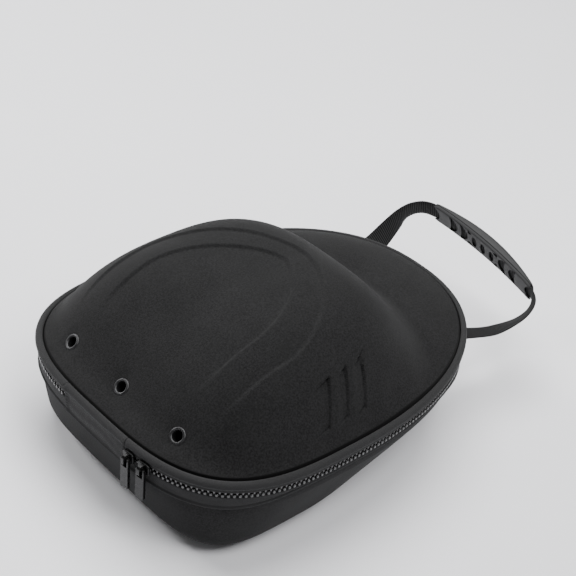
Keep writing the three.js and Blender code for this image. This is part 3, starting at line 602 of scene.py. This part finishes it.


# The lid's crease tone is painted shade: the darkest its colour goes in the crease under the binding
LID_CLOTH = shell_cloth("lid cloth", dark=0.0066, light=0.0163, crease=0.0025)
BASE_CLOTH = shell_cloth("base cloth", dark=0.008, light=0.0198)
TAPE_CLOTH = woven_cloth("tape cloth", dark=0.0125, light=0.03, along=900, across=1100)
# The webbing's dark tone is the painted shade between one rib and the next
WEBBING_CLOTH = ribbed_cloth("webbing cloth", dark=0.0008, light=0.028, pitch=WEBBING.rib_pitch)
TEETH_PLASTIC = moulded("zip plastic", dark=0.01, light=0.018, rough_low=0.16, rough_high=0.26,
                        specular=0.8)
GRIP_RUBBER = moulded("grip rubber", dark=0.027, light=0.037, rough_low=0.5, rough_high=0.7,
                      specular=0.2)
EYELET_METAL = painted_metal("eyelet metal", dark=0.036, light=0.064, rough_low=0.36, rough_high=0.5,
                             metallic=0.9, coat=0.0)
SLIDER_METAL = painted_metal("slider metal", dark=0.006, light=0.016, rough_low=0.22, rough_high=0.36,
                             metallic=0.8, coat=0.06)


# Lid
def between(curves, counts, power=1):
    """Rows from each plan curve to the next, with a count of rows for each stretch."""
    rows = []
    for index, count in enumerate(counts):
        for part in np.linspace(0, 1, count, endpoint=False) ** power:
            rows.append(curves[index] * (1 - part) + curves[index + 1] * part)
    return rows


def crown_foot(angle, shrink=0.0):
    r = (radius(CROWN, angle) - shrink) * FOOT_SHARE
    return np.stack([CROWN.centre + r * np.cos(angle), r * np.sin(angle)], -1)


def louvre_depth(x, y, z):
    """How far the wall is pressed in at a point of the crown's sides."""
    depth = np.zeros_like(x)
    soft = LOUVRE.soft
    for step in LOUVRE_STEPS:
        # Shares of the louvre's run, 1 at its step, and of its height, found together because it leans
        u = np.ones_like(x)
        t = np.zeros_like(x)
        for _ in range(LOUVRE_PASSES):
            foot = step.foot_z - LOUVRE.foot_fall * (1 - u)
            head = step.head_z - step.head_fall * (1 - u)
            t = (z - foot) / (head - foot)
            edge = step.foot_x + (step.head_x - step.foot_x) * t
            u = np.clip(1 - (edge - x) / step.run, -0.5, 1.5)
        tall = step.head_z - step.foot_z
        behind = (1 - u) * step.run
        ends = smooth(t * tall / soft + 0.5) * smooth((1 - t) * tall / soft + 0.5)
        front = smooth(behind / soft + 0.5)
        sunk = np.maximum(u * (LOUVRE.depth + LOUVRE.proud) - LOUVRE.proud, 0)
        sunk = sunk * (1 + LOUVRE.deepen * np.clip(t, 0, 1) ** 2)
        foot_line = step.foot_line * np.exp(-((t * tall / LOUVRE.foot_half) ** 2)) * front
        head_line = step.head_line * np.exp(-(((1 - t) * tall / LOUVRE.head_half) ** 2))
        head_line = head_line * smooth(1 + behind / step.over)
        lines = (foot_line + head_line) * smooth(1 - behind / step.line_run)
        depth = np.maximum(depth, sunk * ends * front) + lines
    return np.where(np.abs(y) > LOUVRE_PLACE.least_y, depth, 0)


def lid_angles():
    """Angles round the lid, closer together where the louvres are."""
    coarse, fine = LID_SPACING.coarse, LID_SPACING.fine
    low, high = math.radians(LOUVRE_PLACE.first_degree), math.radians(LOUVRE_PLACE.last_degree)
    stretches = [(-low, low, coarse), (low, high, fine), (high, 2 * math.pi - high, coarse),
                 (2 * math.pi - high, 2 * math.pi - low, fine)]
    return np.concatenate([spaced_angles(*stretch)[0][:-1] for stretch in stretches])


def lid_lip(angle):
    """Rows from the zip up the rim and over its rounded edge."""
    foot, inset = CREASE_Z - EDGE_TURN.drop, EDGE_TURN.inset
    rows = [level(outline(RIM, angle), z) for z in (ZIP_Z + GAP / 2, ZIP_Z + LID_ROWS.lip, foot)]
    top = outline(RIM, angle, -inset)
    rise = lid_height(top[:, 0], top[:, 1]) - foot
    for turn in np.radians(EDGE_TURN.degrees):
        spot = outline(RIM, angle, -inset * math.sin(turn))
        rows.append(np.column_stack([spot, foot + rise * (1 - math.cos(turn))]))
    return rows


def lid_plan(angle, top):
    """Plan curves from the rim to the top, and how many steps down each one lies."""
    foot, outer, inner = crown_foot(angle), outline(OUTER_STEP, angle), outline(INNER_STEP, angle)
    edge, flange = outline(RIM, angle, -EDGE_TURN.inset), outline(RIM, angle, -FLANGE_EDGE)
    plan = between([edge, flange, foot], [LID_ROWS.edge, LID_ROWS.flange])
    plan += between([foot, outer], [LID_ROWS.wall], LID_ROWS.wall_power)
    downs = [0.0] * len(plan)
    run = LID_ROWS.step
    for shape, head, inward, down, rest in (
        (OUTER_STEP, outer, inner, 0, LID_ROWS.ledge),
        (INNER_STEP, inner, top, 1, LID_ROWS.top),
    ):
        plan += between([head, outline(shape, angle, -STEP_RUN), inward], [run, rest])
        downs += [down + smooth(index / run) for index in range(run)]
        downs += [down + 1] * rest
    return plan, downs


def lid_face(spots, down):
    """Points of the outer face over plan points, pressed in at louvres and eyelets."""
    x, y = spots.T
    z = lid_height(x, y)
    press = louvre_depth(x, y, z)
    for place_x, place_y in EYELET_AT.values():
        near = np.hypot(x - place_x, y - place_y) / EYELET_DIMPLE.reach
        press = press + EYELET_DIMPLE.depth * np.exp(-near**4)
    points = np.column_stack([x, y, z]) - lid_normal(x, y) * press[:, None]
    points[:, 2] -= STEP_DEPTH * down * step_fade(x)
    return points


def lid_lining(angle, top):
    """Rows of the inner face, a wall thickness in, from the zip to the top."""
    rows = [level(outline(RIM, angle, -WALL), ZIP_Z + GAP / 2)]
    steps = [outline(shape, angle, -LINING.inset) for shape in (OUTER_STEP, INNER_STEP)]
    curves = [outline(RIM, angle, -WALL - LINING.start), crown_foot(angle, WALL), *steps, top]
    sinks = [0] * sum(LINING.rows[:2]) + list(LINING.sinks)
    for spots, sink in zip(between(curves, LINING.rows), sinks):
        x, y = spots.T
        rows.append(np.column_stack([x, y, lid_height(x, y, WALL) - STEP_DEPTH * sink * step_fade(x)]))
    return rows


def build_lid():
    angle = lid_angles()
    top = np.repeat([[INNER_STEP.centre, 0.0]], len(angle), 0)
    stack = lid_lining(angle, top)[::-1] + lid_lip(angle)
    stack += [lid_face(spots, down) for spots, down in zip(*lid_plan(angle, top))]
    top_x, top_y = top[0]
    outer_tip = np.array([top_x, top_y, lid_height(top_x, top_y) - 2 * STEP_DEPTH])
    inner_tip = outer_tip - (0, 0, WALL)
    points = np.concatenate(stack + [[inner_tip], [outer_tip]])
    lid = new_piece("lid_cover", points, shell_faces(len(stack), len(angle)), LID_CLOTH)
    ring = circle(EYELET.barrel + EYELET_CUT.room, EYELET_CUT.sides)
    for place in EYELET_AT.values():
        ends = [place_points(eyelet_frame(place), level(ring, z)) for z in EYELET_CUT.reach]
        boolean(lid, *prism(*ends))
    clean_normals(lid, sharp=50)
    shade_edge(lid)
    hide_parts("lid_shell")


def shade_edge(lid):
    """Marks each point of the lid for the painted crease shade: 0 in the shaded crease, 1 on the open
    cloth.
    """
    spots = np.zeros(3 * len(lid.data.vertices), np.float32)
    lid.data.vertices.foreach_get("co", spots)
    x, y = spots.reshape(-1, 3)[:, :2].T / MM
    inward = radius(RIM, np.arctan2(y, x)) - np.hypot(x, y)
    share = smooth((inward - CREASE_SHADE.start) / (CREASE_SHADE.end - CREASE_SHADE.start))
    mark = lid.data.attributes.new("edge_shade", "FLOAT", "POINT")
    mark.data.foreach_set("value", share.astype(np.float32))


# Eyelets
def eyelet_frame(place):
    """Turn and origin of an eyelet, square to the lid at the foot of its dimple."""
    x, y = float(place[0]), float(place[1])
    normal = Vector(lid_normal(np.array(x), np.array(y)))
    turn = Vector((0, 0, 1)).rotation_difference(normal).to_matrix()
    origin = np.array([x, y, float(lid_height(x, y))]) - np.array(normal) * EYELET_DIMPLE.depth
    return np.array(turn), origin


def build_eyelet(name, place):
    hole, barrel, flange, crest = EYELET.hole, EYELET.barrel, EYELET.flange, EYELET.crest
    depth, seat, height = EYELET.depth, EYELET.seat, EYELET.height
    profile = [(hole, -depth), (barrel, -depth), (barrel, seat - EYELET_ROLL.lip)]
    for turn in np.linspace(0, math.pi, EYELET_ROLL.turns):
        reach = flange - crest if turn < math.pi / 2 else crest - hole
        rise = height * math.sin(turn) ** EYELET_ROLL.power
        profile.append((crest + reach * math.cos(turn), seat + rise))
    sides = EYELET_ROLL.sides
    points = np.concatenate([level(circle(r, sides), z) for r, z in profile])
    faces = grid_faces(len(profile), sides, True, True)
    points = place_points(eyelet_frame(place), points)
    ring = new_piece(name + "_ring", points, faces, EYELET_METAL, sharp=50)
    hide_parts(name)


# Base
def tray_shape(z, inset):
    """Outline of the tray at one height, drawn in towards its rounded floor."""
    lower = 1 - min(max(z / BAND_FOOT_Z, 0), 1)
    drop = max(TRAY_ROUND - z, 0)
    round_in = TRAY_ROUND - math.sqrt(max(TRAY_ROUND**2 - drop**2, 0))
    shift = TRAY.shift * lower
    front = TRAY.front_floor + (RIM.front - TRAY.front_floor) * float(smooth(1 - lower))
    return Table(
        centre=shift,
        back=RIM.back - TRAY.back_inset * lower - round_in + shift - inset,
        front=front - round_in - shift - inset,
        half=RIM.half - TRAY.side_inset * lower - round_in - inset,
        back_power=RIM.back_power + (TRAY.back_power - RIM.back_power) * lower,
        front_power=RIM.front_power + (TRAY.front_power - RIM.front_power) * lower,
    )


def build_base():
    angle = spaced_angles(0, 2 * math.pi, BASE_SPACING)[0][:-1]
    middle = np.array([[TRAY.shift, 0.0]])
    floor_edge = outline(tray_shape(0, 0), angle)
    rows = [level(middle + (floor_edge - middle) * share, 0) for share in FLOOR_SHARES.outer]
    round_heights = np.linspace(0, 1, BASE_ROWS.round) ** 2 * TRAY_ROUND
    wall_heights = np.linspace(TRAY_ROUND, BAND_FOOT_Z, BASE_ROWS.wall)[1:]
    rows += [level(outline(tray_shape(z, 0), angle), z) for z in (*round_heights, *wall_heights)]
    rim_top = ZIP_Z - GAP / 2
    rows += [level(outline(RIM, angle), z) for z in (RIM_FOOT_Z, rim_top)]
    rows += [level(outline(RIM, angle, -WALL), z) for z in (rim_top, RIM_FOOT_Z)]
    rise = (BAND_FOOT_Z - WALL) / BAND_FOOT_Z
    for z in np.linspace(1, 0, BASE_ROWS.lining) ** 2 * BAND_FOOT_Z:
        rows.append(level(outline(tray_shape(z, WALL), angle), WALL + z * rise))
    inner_edge = rows[-1][:, :2]
    rows += [level(middle + (inner_edge - middle) * share, WALL) for share in FLOOR_SHARES.inner]
    points = np.concatenate(rows + [level(middle, 0), level(middle, WALL)])
    base = new_piece("base_cover", points, shell_faces(len(rows), len(angle)), BASE_CLOTH, sharp=50)
    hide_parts("base_shell")


# Zip band
def build_band(name, section, start, end, node, wrinkle=0.0, seam=0.0):
    """A strip along the rim with soft wrinkles, and puckered ends where a seam is given."""
    angle, length = spaced_angles(start, end, BAND_SPACING)
    loop = closed_curve(section, BAND_PER_POINT)
    along = np.linspace(0, length, len(angle))
    pucker = np.sin(along * PUCKER.fine) * np.sin(along * PUCKER.slow + 1)
    pucker = pucker + PUCKER.broad_share * np.sin(along * PUCKER.broad + 2)
    sway = FOLD.along * along + FOLD.sway * np.sin(along * FOLD.sway_along)
    from_end = np.minimum(along, length - along)
    ridge = seam * np.exp(-(((from_end - WRINKLE.seam_reach) / WRINKLE.seam_reach) ** 2))
    spot = outline(RIM, angle)
    outward = outline(RIM, angle, 1.0) - spot
    rows = []
    for out, z, rise in loop:
        free = min(max((out - WRINKLE.free_from) / WRINKLE.free_run, 0), 1)
        fold = np.sin(z * FOLD.up + sway)
        pinch = 1 + PINCH.share * math.sin(z * PINCH.up)
        push = out + free * (wrinkle * (PUCKER.share * pucker + fold) + ridge * pinch)
        rows.append(np.column_stack([spot + outward * push[:, None], z + rise * foot_rise(spot[:, 0])]))
    count = len(angle)
    faces = grid_faces(len(rows), count, True, False)
    start_cap = [row * count for row in range(len(rows))]
    faces += [start_cap, [corner + count - 1 for corner in start_cap[::-1]]]
    piece = new_piece(name, np.concatenate(rows), faces, TAPE_CLOTH, sharp=60)
    mark_lengths(piece, count, along, path_lengths(loop[:, :2]))
    if node:
        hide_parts(node)


def squared(value):
    return np.sign(value) * np.abs(value) ** TOOTH_RING.power


def tooth_block():
    """One tooth with rounded corners, X along, Y out, Z up, its foot square."""
    low, high, corner, sides = TOOTH.low, TOOTH.high, TOOTH.corner, TOOTH_RING.sides
    levels = [(low, 1)] + [(high - corner * drop, scale) for drop, scale in TOOTH_TOP]
    turn = np.linspace(0, 2 * math.pi, sides, endpoint=False) + math.pi / sides
    along = squared(np.cos(turn)) * TOOTH.wide / 2
    up = squared(np.sin(turn)) * TOOTH.tall / 2
    loops = [np.column_stack([along * scale, np.full(sides, out), up * scale]) for out, scale in levels]
    return np.concatenate(loops), tube_faces(len(levels), sides)


def track_frame(angle):
    """Turn and origin on the zip: X along it, Y out, Z up."""
    e = 1e-3
    ahead, behind = outline(RIM, angle + e), outline(RIM, angle - e)
    tangent = np.append(behind - ahead, 0)
    tangent /= np.linalg.norm(tangent)
    outward = np.array([-tangent[1], tangent[0], 0])
    return np.stack([tangent, outward, (0, 0, 1)], 1), np.append(outline(RIM, angle), ZIP_Z)


def build_teeth(start, end):
    block, block_faces = tooth_block()
    angles = spaced_angles(start, end, TOOTH.pitch / 2)[0][1:-1]
    points, faces = [], []
    for index, angle in enumerate(angles):
        side = 1 if index % 2 else -1
        recess = TOOTH.recess if side > 0 else 0
        shift = np.array([0, -recess, side * (TOOTH.tall / 2 - TOOTH.past)])
        first = len(points) * len(block)
        points.append(place_points(track_frame(angle), block + shift))
        faces += [[first + corner for corner in face] for face in block_faces]
    teeth = new_piece("zip_teeth", np.concatenate(points), faces, TEETH_PLASTIC, sharp=50)
    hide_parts("zip_chain")
    build_band("zip_core", CORE_SECTION, start, end, None)


# Sliders and pulls, made about the track: X along the zip, Y out, Z up
def track_prism(loop, low, high):
    along, up = loop.T
    return prism(*(np.column_stack([along, np.full(len(loop), out), up]) for out in (low, high)))


def slider_arm():
    """The bail that holds the pull: a flat bar bent over the plate."""
    arm = SLIDER_ARM
    bend, half = arm.bend, arm.half
    middle = arm.reach - arm.wall / 2
    crest = arm.top - arm.wall / 2
    path = [(arm.root, middle)]
    for turn in np.linspace(0, math.pi / 2, arm.turns):
        path.append((crest - bend * (1 - math.sin(turn)), middle - bend * (1 - math.cos(turn))))
    path = np.array(path + [(out, -up) for out, up in path[::-1]])
    ahead = np.gradient(path, axis=0)
    ahead /= np.linalg.norm(ahead, axis=1, keepdims=True)
    side_way = np.column_stack([ahead[:, 1], -ahead[:, 0]]) * arm.wall / 2
    rows = []
    for a, b in zip(path + side_way, path - side_way):
        rows.append(np.array([(-half, *a), (half, *a), (half, *b), (-half, *b)]))
    return np.concatenate(rows), tube_faces(len(rows), 4)


def build_slider(letter, y):
    half, neck, tall = SLIDER.half, SLIDER.neck, SLIDER.tall
    lower = [(-half, -neck), (-half + SLIDER.nose, -tall), (half - SLIDER.tail, -tall), (half, -neck)]
    upper = [(along, -up) for along, up in lower[::-1]]
    side = np.array([(-half, 0), *lower, (half, 0), *upper], float)
    place = track_frame(back_angle(y))
    points, faces = track_prism(side, SLIDER.inner, SLIDER.plate)
    body = new_piece("slider_" + letter + "_body", place_points(place, points), faces, SLIDER_METAL)
    bevel(body, SLIDER.bevel, segments=3, degrees=30)
    arm_points, arm_faces = slider_arm()
    boolean(body, place_points(place, arm_points), arm_faces, "UNION")
    bevel(body, SLIDER_ARM.bevel, segments=2, degrees=50)
    clean_normals(body, sharp=40)
    flatten(body)
    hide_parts("slider_" + letter)


def build_pull(letter, y):
    head, foot, top, length = PULL.head, PULL.foot, PULL.top, PULL.length
    head_cut, foot_cut = PULL.head_cut, PULL.foot_cut
    half = [(head - head_cut, top), (head, top - head_cut), (head, -PULL_EYE.foot),
            (foot, foot_cut - length), (foot - foot_cut, -length)]
    loop = np.array(half + [(-x, z) for x, z in half[::-1]], float)
    low, high = PULL_AXIS_OUT - PULL.thick / 2, PULL_AXIS_OUT + PULL.thick / 2
    place = track_frame(back_angle(y))
    points, faces = track_prism(loop, low, high)
    points = place_points(place, points)
    pull = new_piece("pull_" + letter + "_tab", points, faces, SLIDER_METAL, "pull_" + letter)
    wide, eye_top, eye_foot, past = PULL_EYE.half, PULL_EYE.top, PULL_EYE.foot, PULL_EYE.past
    eye = np.array([(-wide, -eye_top), (-wide, -eye_foot), (wide, -eye_foot), (wide, -eye_top)])
    eye_points, eye_faces = track_prism(eye, low - past, high + past)
    boolean(pull, place_points(place, eye_points), eye_faces)
    bevel(pull, PULL.bevel, segments=3, degrees=40)
    clean_normals(pull, sharp=40)
    flatten(pull)
    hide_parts("pull_" + letter)


# Handle
def unit(vector):
    return vector / np.linalg.norm(vector)


def strap_frame(tangent, turn):
    """Directions of the strap's width and face, for its way and its turn in degrees."""
    side = unit(np.cross((0, 0, 1), tangent))
    lift = unit(np.cross(tangent, side))
    angle = math.radians(turn)
    width = side * math.cos(angle) + lift * math.sin(angle)
    return width, unit(np.cross(tangent, width))


GRIP_LENGTH = float(np.linalg.norm(GRIP_NEAR - GRIP_FAR))
GRIP_DIR = unit(GRIP_NEAR - GRIP_FAR)
GRIP_WIDTH, GRIP_FACE = strap_frame(GRIP_DIR, GRIP_TURN)


def grip_point(part):
    bow = GRIP_BOW * 4 * part * (1 - part)
    return GRIP_FAR + GRIP_DIR * GRIP_LENGTH * part - GRIP_FACE * bow


def curve_point(path, where):
    """A centripetal curve through the path's points."""
    low = min(int(where), len(path) - 2)
    t = where - low
    b, c = path[low], path[low + 1]
    a = path[low - 1] if low > 0 else 2 * b - c
    d = path[low + 2] if low + 2 < len(path) else 2 * c - b
    first, second, third = (max(np.linalg.norm(p - q), 1e-6) ** 0.5 for p, q in ((b, a), (c, b), (d, c)))
    start = ((b - a) / first - (c - a) / (first + second) + (c - b) / second) * second
    end = ((c - b) / second - (d - b) / (second + third) + (d - c) / third) * second
    return b + start * t + (3 * (c - b) - 2 * start - end) * t**2 + (2 * (b - c) + start + end) * t**3


def strap_lift(part):
    """How far the strap lies towards the sleeve's open face, none at its ends."""
    return GRIP_LIFT.height * smooth(min(part, 1 - part) * GRIP_LENGTH / GRIP_LIFT.lead)


def strap_in_grip(part):
    return np.append(grip_point(part) + GRIP_FACE * strap_lift(part), GRIP_TURN)


def tucked(root, following):
    """The end of the strap, carried on in a straight line under the tape."""
    onward = unit(root[:3] - following[:3]) * ROOT_TUCK
    return np.append(root[:3] + onward, root[3])


def strap_path():
    """Points and turns of the strap from the far root to the near root, closely spaced."""
    far = [*np.array(FAR_LEG, float), strap_in_grip(0), strap_in_grip(GRIP_LEAD)]
    near = [strap_in_grip(1 - GRIP_LEAD), strap_in_grip(1), *np.array(NEAR_LEG, float)]
    per_leg = STRAP_ROWS.leg
    stations = [curve_point(far, where) for where in np.linspace(0, len(far) - 2, per_leg)]
    stations += [strap_in_grip(part) for part in np.linspace(0, 1, STRAP_ROWS.grip)[1:-1]]
    stations += [curve_point(near, where) for where in np.linspace(1, len(near) - 1, per_leg)]
    return np.array([tucked(stations[0], stations[1]), *stations, tucked(stations[-1], stations[-2])])


def build_webbing():
    stations = strap_path()
    lengths = path_lengths(stations[:, :3])
    pitch, per_rib = WEBBING.rib_pitch, STRAP_ROWS.per_rib
    count = int(lengths[-1] / pitch) * per_rib
    along = np.arange(count) * pitch / per_rib
    route = np.column_stack([np.interp(along, lengths, column) for column in stations.T])
    for _ in range(STRAP_ROWS.soften):
        route[1:-1] = (route[:-2] + 2 * route[1:-1] + route[2:]) / 4
    tangent = np.gradient(route[:, :3], axis=0)
    across = np.linspace(-1, 1, STRAP_ROWS.across)
    loops = []
    for index, (*spot, turn) in enumerate(route):
        width, face = strap_frame(unit(tangent[index]), turn)
        rib = -WEBBING.rib * math.cos(2 * math.pi * index / per_rib)
        for side, order in ((1, across), (-1, across[::-1])):
            for share in order:
                edge = 1 - WEBBING.thin_edge * abs(share) ** WEBBING.edge_power
                thick = (WEBBING.thick / 2 * edge + rib * edge) * side
                loops.append(spot + width * share * WEBBING.width / 2 + face * thick)
    around = 2 * len(across)
    strap = new_piece("webbing_strap", loops, tube_faces(count, around), WEBBING_CLOTH, sharp=70)
    mark_lengths(strap, around, np.concatenate([across, across[::-1]]) * WEBBING.width / 2, along)
    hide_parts("handle_webbing")


def grip_section(part):
    """Points of the sleeve's section: a full back, a groove along both edges and a flat open face."""
    swell = math.sin(math.pi * part) ** GRIP.swell_power if 0 < part < 1 else 0.0
    tall = (GRIP.tall_end + (GRIP.tall_middle - GRIP.tall_end) * swell) / 2
    outer = GRIP.outer_end + (GRIP.outer_middle - GRIP.outer_end) * swell
    edge, inner, groove = GRIP.edge, GRIP.inner, GRIP.groove
    turned = edge * GRIP.edge_round
    half = [(tall * width_share, -outer * depth_share) for width_share, depth_share in GRIP_BACK]
    half += [(tall, -edge), (tall, -groove), (tall - groove, 0), (tall, groove), (tall, inner - edge)]
    half += [(tall - turned, inner - turned), (tall - edge, inner), (tall / 2, inner)]
    return [(0, -outer)] + half + [(0, inner)] + [(-w, f) for w, f in half[::-1]]


def window_outline(kind, lean):
    if kind == "oval":
        return circle(1, OVAL.sides) * (OVAL.along, OVAL.up)
    if kind == "wedge":
        along, up = WEDGE.along, WEDGE.up
        loop = closed_curve([(along, 0), (-along, up), (-along, -up)], WEDGE.per_side) * WEDGE.scale
    else:
        bulge, up = CRESCENT.bulge, CRESCENT.up
        turn = np.linspace(-math.pi / 2, math.pi / 2, CRESCENT.turns)
        loop = np.column_stack([bulge * np.cos(turn) - bulge, up * np.sin(turn)])
        if kind == "crescent":
            inside = np.column_stack([CRESCENT.hollow * np.cos(turn) - bulge, up * np.sin(turn)])
            loop = np.concatenate([loop, inside[1:-1][::-1]])
    return loop * (lean, 1)


def grip_tunnel():
    """The room for the strap inside the sleeve."""
    wide, thick = WEBBING.width / 2 + GAP, WEBBING.thick / 2 + GAP
    past, start = GRIP_TUNNEL.past, GRIP_TUNNEL.start
    rows = []
    for part in (-past, *np.linspace(start, 1 - start, GRIP_TUNNEL.rows), 1 + past):
        front = thick + strap_lift(part)
        corners = ((-wide, -thick), (wide, -thick), (wide, front), (-wide, front))
        rows.append([grip_point(part) + GRIP_WIDTH * w + GRIP_FACE * f for w, f in corners])
    return np.concatenate(rows), tube_faces(len(rows), 4)


def build_grip():
    ends, lead = np.array(GRIP_ROWS.ends), GRIP_END.lead
    loops = []
    for part in (*ends, *np.linspace(lead, 1 - lead, GRIP_ROWS.middle), *(1 - ends[::-1])):
        section = closed_curve(grip_section(part), GRIP_ROWS.per_point)
        from_end = min(part, 1 - part) / lead
        turned = math.sqrt(1 - (1 - min(from_end, 1)) ** 2)
        wide = 1 - GRIP_END.side * (1 - turned)
        deep = 1 - GRIP_END.face * (1 - turned)
        section = section * (wide, deep)
        loops.append(grip_point(part) + section[:, :1] * GRIP_WIDTH + section[:, 1:] * GRIP_FACE)
    faces = tube_faces(len(loops), len(loops[0]))
    grip = new_piece("grip_sleeve", np.concatenate(loops), faces, GRIP_RUBBER)
    boolean(grip, *grip_tunnel())

    # The windows, in the face towards the case
    for along, up, kind, lean in WINDOWS:
        middle = grip_point(0.5 + along / GRIP_LENGTH) + GRIP_WIDTH * up
        loop = window_outline(kind, lean)
        ring = middle + loop[:, :1] * GRIP_DIR + loop[:, 1:] * GRIP_WIDTH
        boolean(grip, *prism(ring, ring + GRIP_FACE * (GRIP.inner + WINDOW_PAST)))
    clean_normals(grip, sharp=38)
    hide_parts("handle_grip")


# Stage: floor, light and camera
def build_floor():
    r = FLOOR_REACH
    floor = mesh_object("floor", [(-r, -r, 0), (r, -r, 0), (r, r, 0), (-r, r, 0)], [(0, 1, 2, 3)])
    paint = Finish("floor paint", roughness=0.7, specular=0.2)
    paint.colour(paint.noise(scale=3, detail=2, rough=0.5), low=0.9, high=0.93)
    floor.data.materials.append(paint.material)


def build_lights():
    world = bpy.data.worlds.new("studio")
    bpy.context.scene.world = world
    world.use_nodes = True
    sky = world.node_tree.nodes["Background"].inputs
    sky["Color"].default_value = (1, 1, 1, 1)
    sky["Strength"].default_value = WORLD_LIGHT
    for row in LAMPS:
        data = bpy.data.lights.new(row.name, "AREA")
        data.shape = "DISK"
        data.size = row.size
        data.energy = row.power
        lamp = bpy.data.objects.new(row.name, data)
        lamp.location = row.spot
        aim = LIGHT_AIM - Vector(row.spot)
        lamp.rotation_euler = aim.to_track_quat("-Z", "Y").to_euler()
        bpy.context.scene.collection.objects.link(lamp)


def build_camera():
    azimuth, elevation, roll = np.radians((CAMERA.azimuth, CAMERA.elevation, CAMERA.roll)).tolist()
    flat = math.cos(elevation)
    back = Vector((math.sin(azimuth) * flat, -math.cos(azimuth) * flat, math.sin(elevation)))
    right = (-back).cross(Vector((0, 0, 1))).normalized()
    up = right.cross(-back)
    turned_right = right * math.cos(roll) + up * math.sin(roll)
    turned_up = up * math.cos(roll) - right * math.sin(roll)
    data = bpy.data.cameras.new("camera")
    data.sensor_width = CAMERA.sensor
    data.lens = CAMERA.sensor * PHOTO.focal / PHOTO.size
    data.shift_x = (PHOTO.size / 2 - PHOTO.centre_x) / PHOTO.size
    data.shift_y = (PHOTO.centre_y - PHOTO.size / 2) / PHOTO.size
    camera = bpy.data.objects.new("camera", data)
    basis = Matrix((turned_right, turned_up, back)).transposed().to_4x4()
    spot = back * CAMERA.distance + Vector((0, 0, CAMERA.aim_z))
    camera.matrix_world = Matrix.Translation(spot) @ basis
    bpy.context.scene.collection.objects.link(camera)
    bpy.context.scene.camera = camera


# The whole object and its stage
ZIP_START = back_angle(-HINGE_HALF - HINGE_SLIT) - 2 * math.pi
ZIP_END = back_angle(HINGE_HALF + HINGE_SLIT)

build_lid()
for eyelet_name, eyelet_place in EYELET_AT.items():
    build_eyelet(eyelet_name, eyelet_place)
build_base()
build_band("rolled_binding", UPPER_SECTION, ZIP_START, ZIP_END, "zip_tape_upper", WRINKLE.tape)
build_band("lower_tape", LOWER_SECTION, ZIP_START, ZIP_END, "zip_tape_lower", WRINKLE.tape)
build_band("hinge_cloth", HINGE_SECTION, back_angle(HINGE_HALF), back_angle(-HINGE_HALF), "hinge_panel",
           WRINKLE.hinge, WRINKLE.seam)
build_teeth(ZIP_START, ZIP_END)
for slider_letter, slider_y in SLIDER_AT.items():
    build_slider(slider_letter, slider_y)
    build_pull(slider_letter, slider_y)
build_webbing()
build_grip()
build_floor()
build_lights()
build_camera()
